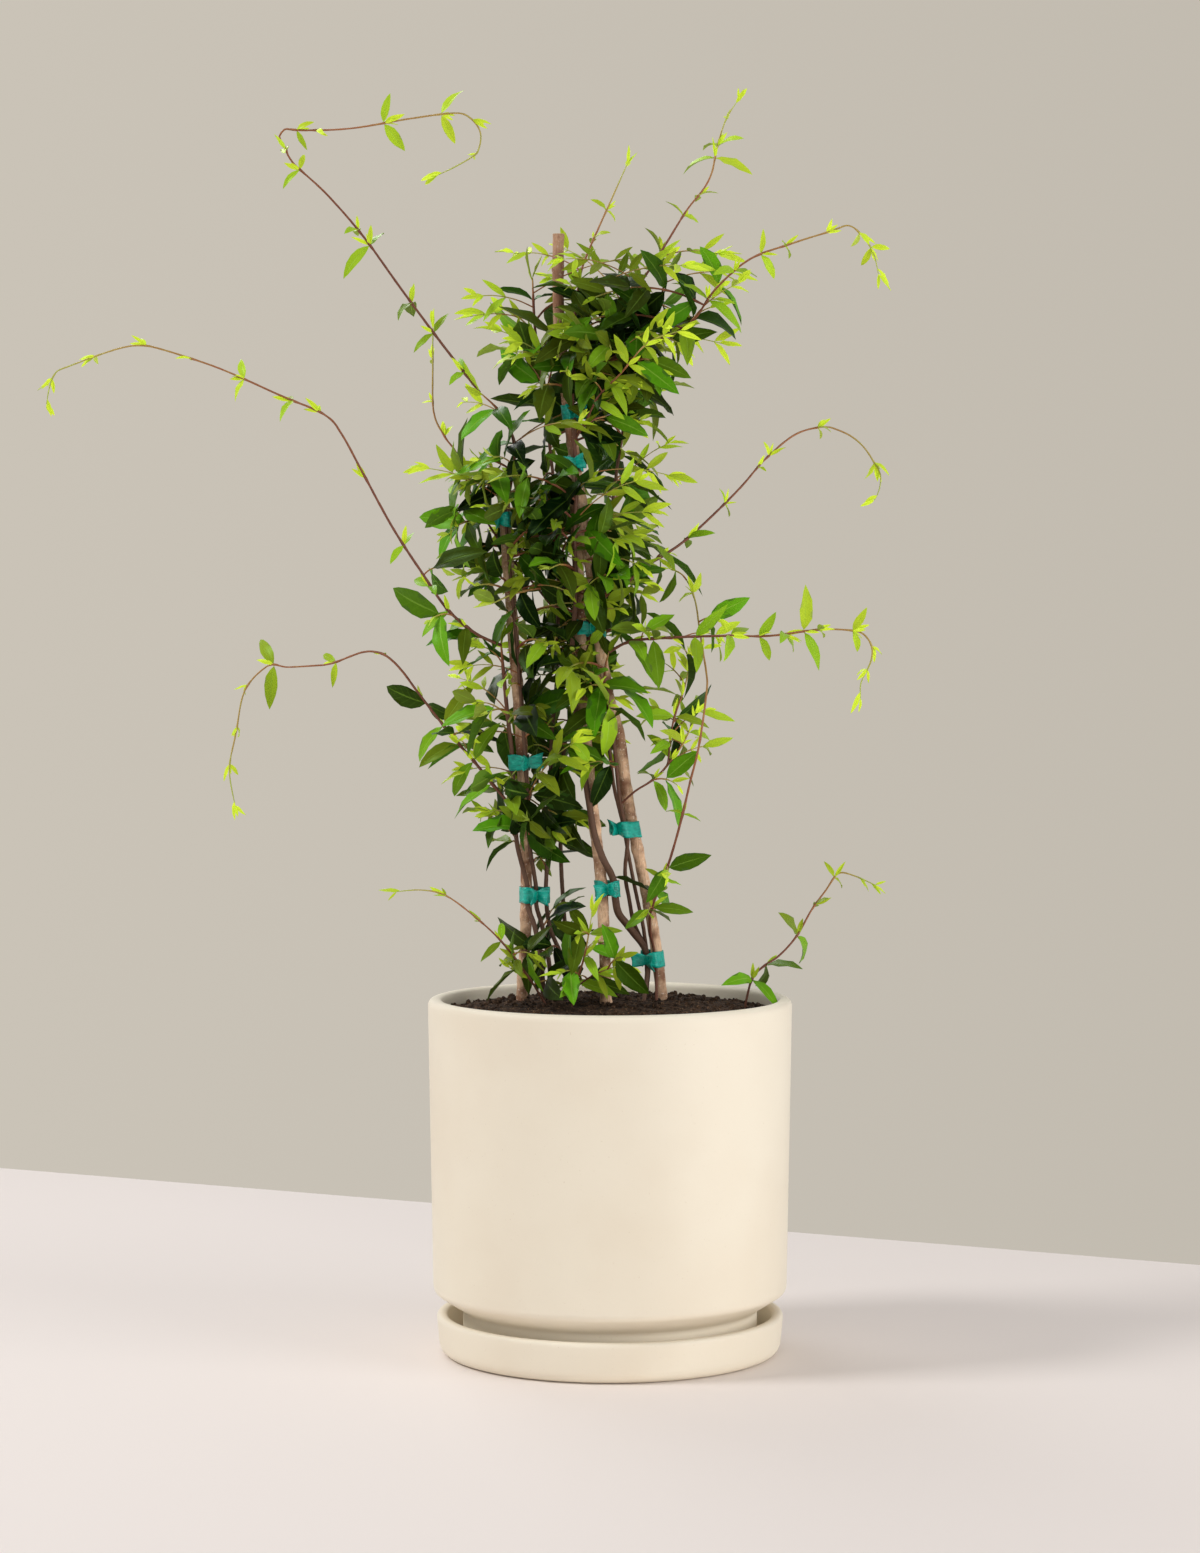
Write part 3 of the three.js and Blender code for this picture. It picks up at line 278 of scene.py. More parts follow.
lens = bpy.data.cameras.new("camera")
lens.sensor_width = SENSOR_WIDE
lens.lens = lens.sensor_width * FOCAL_PIXELS / FRAME_HIGH
lens.shift_x = (FRAME_WIDE / 2 - AXIS_PIXEL) / FRAME_HIGH
lens.shift_y = (HORIZON_PIXEL - FRAME_HIGH / 2) / FRAME_HIGH
camera = in_scene("camera", lens)
camera.location = (0, -CAMERA_AWAY, CAMERA_HIGH)
camera.rotation_euler = (math.radians(90), 0, 0)
bpy.context.scene.camera = camera
print("lens", round(lens.lens, 1), "mm, shift", round(lens.shift_x, 4), round(lens.shift_y, 4))

# %% [markdown]
# The studio
#
# A pale floor ends at a warm grey backdrop, and the edge between them slants in the photograph. The
# backdrop here is only the colour of the world, so that nothing hides the plant when it is looked at from
# behind, and the floor ends where the wall would start. The strongest light stands at the left and throws
# the pot's shadow to the right, and weaker ones fill it from the other sides.

# %% Lay the floor, with its far edge along the slanted line of the photograph
FLOOR_LEFT_PIXEL = (0, 1168)
FLOOR_RIGHT_PIXEL = (FRAME_WIDE, 1265)
FLOOR_BEYOND = 6.0
FLOOR_COLOUR = colour(240, 231, 226)
WALL_COLOUR = colour(202, 195, 183)


def on_floor(pixel):
    """The point of the floor that the photograph shows at a pixel."""
    away = FOCAL_PIXELS * CAMERA_HIGH / (pixel[1] - HORIZON_PIXEL)
    return Vector(((pixel[0] - AXIS_PIXEL) / FOCAL_PIXELS * away, away - CAMERA_AWAY, 0))


edge_left = on_floor(FLOOR_LEFT_PIXEL)
edge_right = on_floor(FLOOR_RIGHT_PIXEL)
edge_along = (edge_right - edge_left).normalized()
far_left = edge_left - edge_along * FLOOR_BEYOND
far_right = edge_right + edge_along * FLOOR_BEYOND
near = Vector((0, -FLOOR_BEYOND * 2, 0))

floor_finish, tree, shader, place = surface("floor_paint", 0.75)
feed(shader, Base_Color=FLOOR_COLOUR)
corners = [far_left, far_left + near, far_right + near, far_right]
floor = piece_from("floor", corners, [(0, 1, 2, 3)], floor_finish)
floor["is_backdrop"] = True
print("floor edge", [tuple(round(value, 2) for value in end) for end in (edge_left, edge_right)])

# %% Colour the backdrop and fill the room with light
FILL_COLOUR = (1.0, 0.985, 0.97, 1.0)
FILL_STRENGTH = 0.42
BACKDROP_FALL = 0.25
BACKDROP_SHIFT = 0.17

world = bpy.data.worlds.new("studio")
world.use_nodes = True
tree = world.node_tree
seen = tree.nodes["Background"]
sight = outlet(tree, "ShaderNodeTexCoord", "Generated")
fall = 1.0 - (sight.part(0) + BACKDROP_SHIFT) * BACKDROP_FALL
feed(seen, Strength=fall, Color=WALL_COLOUR)
lit = outlet(tree, "ShaderNodeBackground", Color=FILL_COLOUR, Strength=FILL_STRENGTH)
ray = outlet(tree, "ShaderNodeLightPath", "Is Camera Ray")
both = ray.node("ShaderNodeMixShader", _0=ray, _1=lit, _2=Wire(tree, seen.outputs[0]))
tree.links.new(both.outputs[0], tree.nodes["World Output"].inputs["Surface"])
bpy.context.scene.world = world
bpy.context.scene.view_settings.view_transform = "Standard"

# %% Light it softly from both sides
AIM = Vector((0, 0, 0.5))

# Each lamp's place, its width and its power
LIGHTS = {
    "left_front": ((-2.2, -0.6, 2.4), 0.75, 43),
    "right_side": ((2.4, -1.4, 0.9), 1.6, 36),
    "front": ((0.6, -3.4, 0.4), 1.8, 13),
    "back": ((-0.9, 1.6, 2.0), 1.2, 12),
}
for name, (at, wide, watts) in LIGHTS.items():
    lamp = bpy.data.lights.new(name, "AREA")
    lamp.size = wide
    lamp.energy = watts
    holder = in_scene(name, lamp)
    holder.location = at
    holder.rotation_euler = (AIM - holder.location).to_track_quat("-Z", "Y").to_euler()
    print("light", name, watts, "W")

# %% [markdown]
# Clay
#
# The pot and the saucer are fired clay with a matte cream glaze. Both are turned shapes: one outline, spun
# round the upright axis. The solids have few sides, so the outline is spun again here with many, and each
# corner is rounded as glaze rounds it. Extra points beside each rounding keep the flat walls' shading flat.

# %% Round an outline's corners and spin it
SPIN_SIDES = 144
ARC_STEPS = 6
SUPPORT_REACH = 1.5


def rounded_outline(corners):
    """Points along a closed outline of [radius, height, reach of the rounding] corners."""
    outline = []
    for at, (radius, height, reach) in enumerate(corners):
        here = Vector((radius, height))
        if reach == 0:
            outline.append(here)
            continue
        towards = []
        for other in (corners[at - 1], corners[(at + 1) % len(corners)]):
            step = Vector(other[:2]) - here
            towards.append((step.normalized(), step.length))
        (back, back_long), (ahead, ahead_long) = towards
        if back_long > 2 * SUPPORT_REACH * reach:
            outline.append(here + back * reach * SUPPORT_REACH)
        start, end = here + back * reach, here + ahead * reach
        for step in range(ARC_STEPS + 1):
            t = step / ARC_STEPS
            outline.append(start * (1 - t) ** 2 + here * 2 * t * (1 - t) + end * t * t)
        if ahead_long > 2 * SUPPORT_REACH * reach:
            outline.append(here + ahead * reach * SUPPORT_REACH)
    return outline


def ring_points(radius, height, sides):
    """Points in metres round the upright axis, at a radius and a height in millimetres."""
    turns = [2 * math.pi * side / sides for side in range(sides)]
    return [(radius * math.cos(turn) * MM, radius * math.sin(turn) * MM, height * MM) for turn in turns]


def spun(name, corners, material):
    """A piece turned about the upright axis from millimetre corners. A closed outline makes a ring."""
    outline = rounded_outline(corners)
    points = []
    for place in outline:
        points += ring_points(place.x, place.y, SPIN_SIDES)
    faces = []
    for at in range(len(outline)):
        a, b = at * SPIN_SIDES, (at + 1) % len(outline) * SPIN_SIDES
        for side in range(SPIN_SIDES):
            beside = (side + 1) % SPIN_SIDES
            faces.append((a + side, a + beside, b + beside, b + side))
    return cleaned(piece_from(name, points, faces, material))


def cleaned(piece):
    """Merges doubled points, drops faces with no area and points every face outwards."""
    shape = bmesh.new()
    shape.from_mesh(piece.data)
    bmesh.ops.remove_doubles(shape, verts=shape.verts, dist=1e-6)
    bmesh.ops.dissolve_degenerate(shape, edges=shape.edges, dist=1e-7)
    bmesh.ops.recalc_face_normals(shape, faces=shape.faces)
    shape.to_mesh(piece.data)
    shape.free()
    return piece


# %% [markdown]
# The glaze
#
# Matte glaze looks plain from far off, yet it is never one colour: it pools a little, holds fine dark
# specks and has a soft orange-peel surface. Noises at several scales make that, and all of them stay
# faint.

# %% Mix the matte glaze
GLAZE = colour(243, 234, 215)
GLAZE_DEEP = colour(234, 221, 199)
GLAZE_SPECK = colour(196, 176, 145)

clay, tree, shader, place = surface("matte_glaze", 0.55)
pooled = noise(place, 7.0, 3.0)
specks = noise(place, 620.0, 2.0).between(0.71, 0.76)
glazed = mixed(pooled.between(0.35, 0.75) * 0.55, GLAZE, GLAZE_DEEP)
feed(shader, Base_Color=mixed(specks * 0.35, glazed, GLAZE_SPECK))
feed(shader, Roughness=noise(place, 40.0) * 0.14 + 0.47)
bump(shader, noise(place, 240.0, 3.0) * 0.6 + noise(place, 30.0, 2.0) * 0.8, 0.00045, 0.35)
feed(shader, Specular_IOR_Level=0.4)
print("glaze nodes", len(tree.nodes))

# %% Turn the pot and the saucer on the sizes of their solids
pot_low, pot_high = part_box("pot")
saucer_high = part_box("saucer")[1]
POT_RADIUS = pot_high.x / MM
POT_TOP = pot_high.z / MM
POT_BOTTOM = pot_low.z / MM
SAUCER_RADIUS = saucer_high.x / MM
SAUCER_TOP = saucer_high.z / MM
POT_WALL = 12
POT_TAPER = 4.5
POT_FLOOR = 10
FOOT_RADIUS = 117
FOOT_TOP = 35
BEVEL_TOP = 50
DRAIN_RADIUS = 8
SAUCER_WALL = 9

# Corners of the outlines: radius, height and the reach of the rounding
pot_inside = POT_RADIUS - POT_WALL
foot_inside = FOOT_RADIUS - POT_WALL
pot = spun("glazed_pot", [
    (DRAIN_RADIUS, POT_BOTTOM, 1),
    (FOOT_RADIUS, POT_BOTTOM, 2.5),
    (FOOT_RADIUS, FOOT_TOP, 3),
    (POT_RADIUS - POT_TAPER, BEVEL_TOP, 4),
    (POT_RADIUS, POT_TOP, 6),
    (pot_inside, POT_TOP, 5),
    (pot_inside - POT_TAPER, BEVEL_TOP + 4, 4),
    (foot_inside, FOOT_TOP + 3, 2),
    (foot_inside, POT_BOTTOM + POT_FLOOR, 2),
    (DRAIN_RADIUS, POT_BOTTOM + POT_FLOOR, 1),
], clay)
finished(pot, ["pot"])

saucer = spun("glazed_saucer", [
    (0, 0, 0),
    (SAUCER_RADIUS - 3, 0, 10),
    (SAUCER_RADIUS, SAUCER_TOP, 4.4),
    (SAUCER_RADIUS - SAUCER_WALL, SAUCER_TOP, 4.4),
    (SAUCER_RADIUS - SAUCER_WALL - 3.5, POT_BOTTOM, 5),
    (0, POT_BOTTOM, 0),
], clay)
finished(saucer, ["saucer"])

# %% [markdown]
# Geometry Nodes with named inputs
#
# What repeats, or follows a path, is made by node trees. A small helper makes a tree with named inputs, and
# another runs it on a source mesh: it sets the inputs by their identifiers, reads the evaluated result back
# as a plain mesh, and throws the modifier and the source away, because the export keeps neither.

# %% Make a geometry tree and run it
def geometry_tree(name, **inputs):
    """A new geometry tree: its inputs by name as wires, and a function that closes it with its result."""
    tree = bpy.data.node_groups.new(name, "GeometryNodeTree")
    tree.interface.new_socket("Geometry", in_out="OUTPUT", socket_type="NodeSocketGeometry")
    for title, kind in {"Geometry": "Geometry", **inputs}.items():
        tree.interface.new_socket(title, in_out="INPUT", socket_type=f"NodeSocket{kind}")
    entry = tree.nodes.new("NodeGroupInput")
    wires = {socket.name: Wire(tree, socket) for socket in entry.outputs if socket.name}

    def close(result):
        """Realizes the result, gives it the tree's material and sends it out."""
        real = outlet(tree, "GeometryNodeRealizeInstances", Geometry=result)
        worn = outlet(tree, "GeometryNodeSetMaterial", Geometry=real, Material=wires["material"])
        leave = tree.nodes.new("NodeGroupOutput")
        tree.links.new(worn.socket, leave.inputs[0])

    return tree, wires, close


def grown(name, source, tree, **values):
    """A plain mesh object from a tree run on a source mesh."""
    holder = in_scene(name + "_source", source)
    modifier = holder.modifiers.new(tree.name, "NODES")
    modifier.node_group = tree
    for item in tree.interface.items_tree:
        if item.in_out == "INPUT" and item.name in values:
            modifier[item.identifier] = values[item.name]
    shown = bpy.context.evaluated_depsgraph_get()
    mesh = bpy.data.meshes.new_from_object(holder.evaluated_get(shown), depsgraph=shown)
    bpy.data.objects.remove(holder)
    bpy.data.meshes.remove(source)
    mesh.name = name
    return in_scene(name, mesh)


def attribute(tree, name, kind="FLOAT"):
    """A named attribute of the geometry, as a wire in a geometry tree."""
    return outlet(tree, "GeometryNodeInputNamedAttribute", 0, {"data_type": kind}, Name=name)


def painted(tree, name):
    """A named attribute of the surface, as a wire in a shader tree."""
    return outlet(tree, "ShaderNodeAttribute", "Fac", {"attribute_name": name})


def point_mesh(name, points, edges, **attributes):
    """A mesh of bare points and edges, with one number or vector on each point for each attribute."""
    mesh = bpy.data.meshes.new(name)
    mesh.from_pydata([tuple(point) for point in points], edges, [])
    for title, values in attributes.items():
        flat = np.asarray(values, dtype=np.float32)
        kind, field = ("FLOAT_VECTOR", "vector") if flat.ndim == 2 else ("FLOAT", "value")
        mesh.attributes.new(title, kind, "POINT").data.foreach_set(field, flat.ravel())
    return mesh


# %% [markdown]
# Soil
#
# Potting mix is dark, crumbly and never level. Its bed is the solid's own mound with finer rings on top,
# lifted by the solid's formula and by fractal noise. Loose crumbs lie on it: a geometry tree scatters
# points on the top faces with a fixed seed, puts a small lumpy ball on each, turns and squashes it, and
# roughens it by noise.

# %% Lay the bed of soil as the solid has it
SOIL_MIDDLE = 280
SOIL_EDGE = 270
SOIL_ROOM = 0.4
SOIL_ROOM_TOP = 0.3
SOIL_RADIUS = pot_inside - SOIL_ROOM_TOP
SOIL_RINGS = 44
SOIL_SPOKES = 120

# Of the mound's two waves: the height, and the radians for each millimetre along X and along Y
SOIL_SWELL = (1.3, 0.11, 0.13)
SOIL_RIPPLE = (0.7, 0.23, 0.19)

# Sizes and heights of the crumbly lift, and the level at which its noise is read
CRUMBLE = ((0.08, 1.3), (0.21, 0.9), (0.55, 0.5))
CRUMBLE_LEVEL = 3.1
ABOVE_BEVEL = 6
ABOVE_FOOT = 5


def soil_height(x, y):
    """Height of the solid's mound in millimetres, at one place or at many."""
    share = np.sqrt(x * x + y * y) / pot_inside
    mound = SOIL_MIDDLE + (SOIL_EDGE - SOIL_MIDDLE) * share * share
    swell = SOIL_SWELL[0] * np.sin(x * SOIL_SWELL[1]) * np.cos(y * SOIL_SWELL[2])
    ripple = SOIL_RIPPLE[0] * np.sin(x * SOIL_RIPPLE[1] + y * SOIL_RIPPLE[2])
    return mound + swell + ripple


def rough(x, y):
    """Crumbly lift of the soil in millimetres."""
    lift = 0.0
    for size, share in CRUMBLE:
        lift += share * fractal.noise(Vector((x * size, y * size, CRUMBLE_LEVEL)))
    return lift


points = []
for ring in range(SOIL_RINGS + 1):
    out = SOIL_RADIUS * ring / SOIL_RINGS
    for spoke in range(SOIL_SPOKES):
        turn = 2 * math.pi * spoke / SOIL_SPOKES
        x, y = out * math.cos(turn), out * math.sin(turn)
        points.append((x * MM, y * MM, (float(soil_height(x, y)) + rough(x, y)) * MM))
foot_room = foot_inside - SOIL_ROOM
points += ring_points(SOIL_RADIUS - POT_TAPER, BEVEL_TOP + ABOVE_BEVEL, SOIL_SPOKES)
points += ring_points(foot_room, FOOT_TOP + ABOVE_FOOT, SOIL_SPOKES)
points += ring_points(foot_room, POT_BOTTOM + POT_FLOOR, SOIL_SPOKES)
faces = []
for a in range(0, len(points) - SOIL_SPOKES, SOIL_SPOKES):
    b = a + SOIL_SPOKES
    for spoke in range(SOIL_SPOKES):
        beside = (spoke + 1) % SOIL_SPOKES
        faces.append((a + spoke, b + spoke, b + beside, a + beside))
faces.append(tuple(range(len(points) - SOIL_SPOKES, len(points))))

# %% Mix the earth
SOIL_DARK = colour(36, 26, 19)
SOIL_MID = colour(82, 61, 45)
SOIL_PALE = colour(132, 102, 77)

earth, tree, shader, place = surface("potting_mix", 0.95)
lumps = noise(place, 190.0, 5.0, 0.7)
flecks = noise(place, 430.0, 2.0).between(0.6, 0.68)
dug = mixed(lumps.between(0.36, 0.68), SOIL_DARK, SOIL_MID)
feed(shader, Base_Color=mixed(flecks * 0.7, dug, SOIL_PALE))
bump(shader, lumps + noise(place, 900.0) * 0.5, 0.0016, 0.9)
feed(shader, Specular_IOR_Level=0.2)

bed = piece_from("soil_bed", points, faces, earth)
cleaned(bed)
finished(bed, ["soil"])

# %% Build the tree that scatters crumbs
FULL_TURN = 6.28
LEAST_SQUASH = (0.6, 0.6, 0.45)
MOST_SQUASH = (1.2, 1.2, 0.9)
CRUMB_LUMPS = 420.0
CRUMB_ROUGH = 0.55

scatter, wires, close = geometry_tree(
    "scatter_crumbs", density="Float", smallest="Float", largest="Float", seed="Int", material="Material")
strewn = outlet(scatter, "GeometryNodeDistributePointsOnFaces", Mesh=wires["Geometry"],
                Density=wires["density"], Seed=wires["seed"])
crumb = outlet(scatter, "GeometryNodeMeshUVSphere", Segments=8, Rings=5, Radius=0.5)
turned = outlet(scatter, "FunctionNodeRandomValue", 0, {"data_type": "FLOAT_VECTOR"}, _0=(0, 0, 0),
                _1=(FULL_TURN,) * 3, Seed=wires["seed"])
sized = outlet(scatter, "FunctionNodeRandomValue", 1, {"data_type": "FLOAT"}, _2=wires["smallest"],
               _3=wires["largest"], Seed=wires["seed"])
squashed = outlet(scatter, "FunctionNodeRandomValue", 0, {"data_type": "FLOAT_VECTOR"}, _0=LEAST_SQUASH,
                  _1=MOST_SQUASH, Seed=wires["seed"])
lying = outlet(scatter, "GeometryNodeInstanceOnPoints", Points=strewn, Instance=crumb, Rotation=turned,
               Scale=squashed.vector("SCALE", sized))
loose = outlet(scatter, "GeometryNodeRealizeInstances", Geometry=lying)
here = outlet(scatter, "GeometryNodeInputPosition")
lumpy = outlet(scatter, "ShaderNodeTexNoise", 1, Vector=here, Scale=CRUMB_LUMPS, Detail=2.0)
shift = lumpy.vector("SUBTRACT", (0.5, 0.5, 0.5)).vector("SCALE", wires["largest"] * CRUMB_ROUGH)
close(outlet(scatter, "GeometryNodeSetPosition", Geometry=loose, Offset=shift))

# %% Strew crumbs of two sizes over the top of the bed
# Least and largest size in metres, how many on a square metre, and the seed
CRUMBS = {"fine": (0.0014, 0.0032, 26000, 4), "coarse": (0.0035, 0.0075, 3800, 9)}
for name, (smallest, largest, density, seed) in CRUMBS.items():
    top = bpy.data.meshes.new("soil_top")
    top.from_pydata(points, [], faces[:(SOIL_RINGS - 1) * SOIL_SPOKES])
    crumbs = grown(f"soil_crumbs_{name}", top, scatter, smallest=smallest, largest=largest,
                   density=float(density), seed=seed, material=earth)
    finished(crumbs)

# %% [markdown]
# The vine's plan
#
# A vine is a set of stems. Each rises from its own hole in the soil, or branches off an older stem. The
# routes are the same points, in millimetres, as those of the solids, so that every fine stem lies in its
# plain one.

# %% Plan the stakes and the bush, in millimetres
# Stakes, from the soil up to the cut end
STAKES = {
    "left": ((-71, 18, 277), (-67, 16, 358), (-70, 12, 468), (-77, 10, 566), (-84, 8, 662), (-86, 8, 694)),
    "middle": ((-3, -28, 277), (-6, -16, 361), (-11, -8, 409), (-17, 0, 460), (-21, 8, 518), (-24, 14, 582),
               (-29, 22, 715)),
    "right": ((42, 15, 277), (35, 11, 332), (26, 8, 379), (14, 4, 440), (8, 1, 485), (-4, -4, 535),
              (-11, -8, 589), (-19, -10, 649), (-26, -10, 695), (-36, -8, 773), (-41, -6, 832),
              (-41, -4, 889)),
}

# The bush's outline: at each height its left, right, front and back
BUSH = ((300, -66, 6, -40, 40), (391, -98, -22, -44, 52), (470, -100, -22, -46, 56),
        (534, -112, -14, -50, 62), (566, -122, 64, -62, 66), (620, -140, 44, -66, 72),
        (674, -146, 46, -70, 74), (730, -104, 42, -70, 74), (785, -90, 74, -66, 70),
        (850, -92, 98, -62, 66), (900, -50, 66, -40, 44))
print("stakes", len(STAKES), "heights of the bush", len(BUSH))

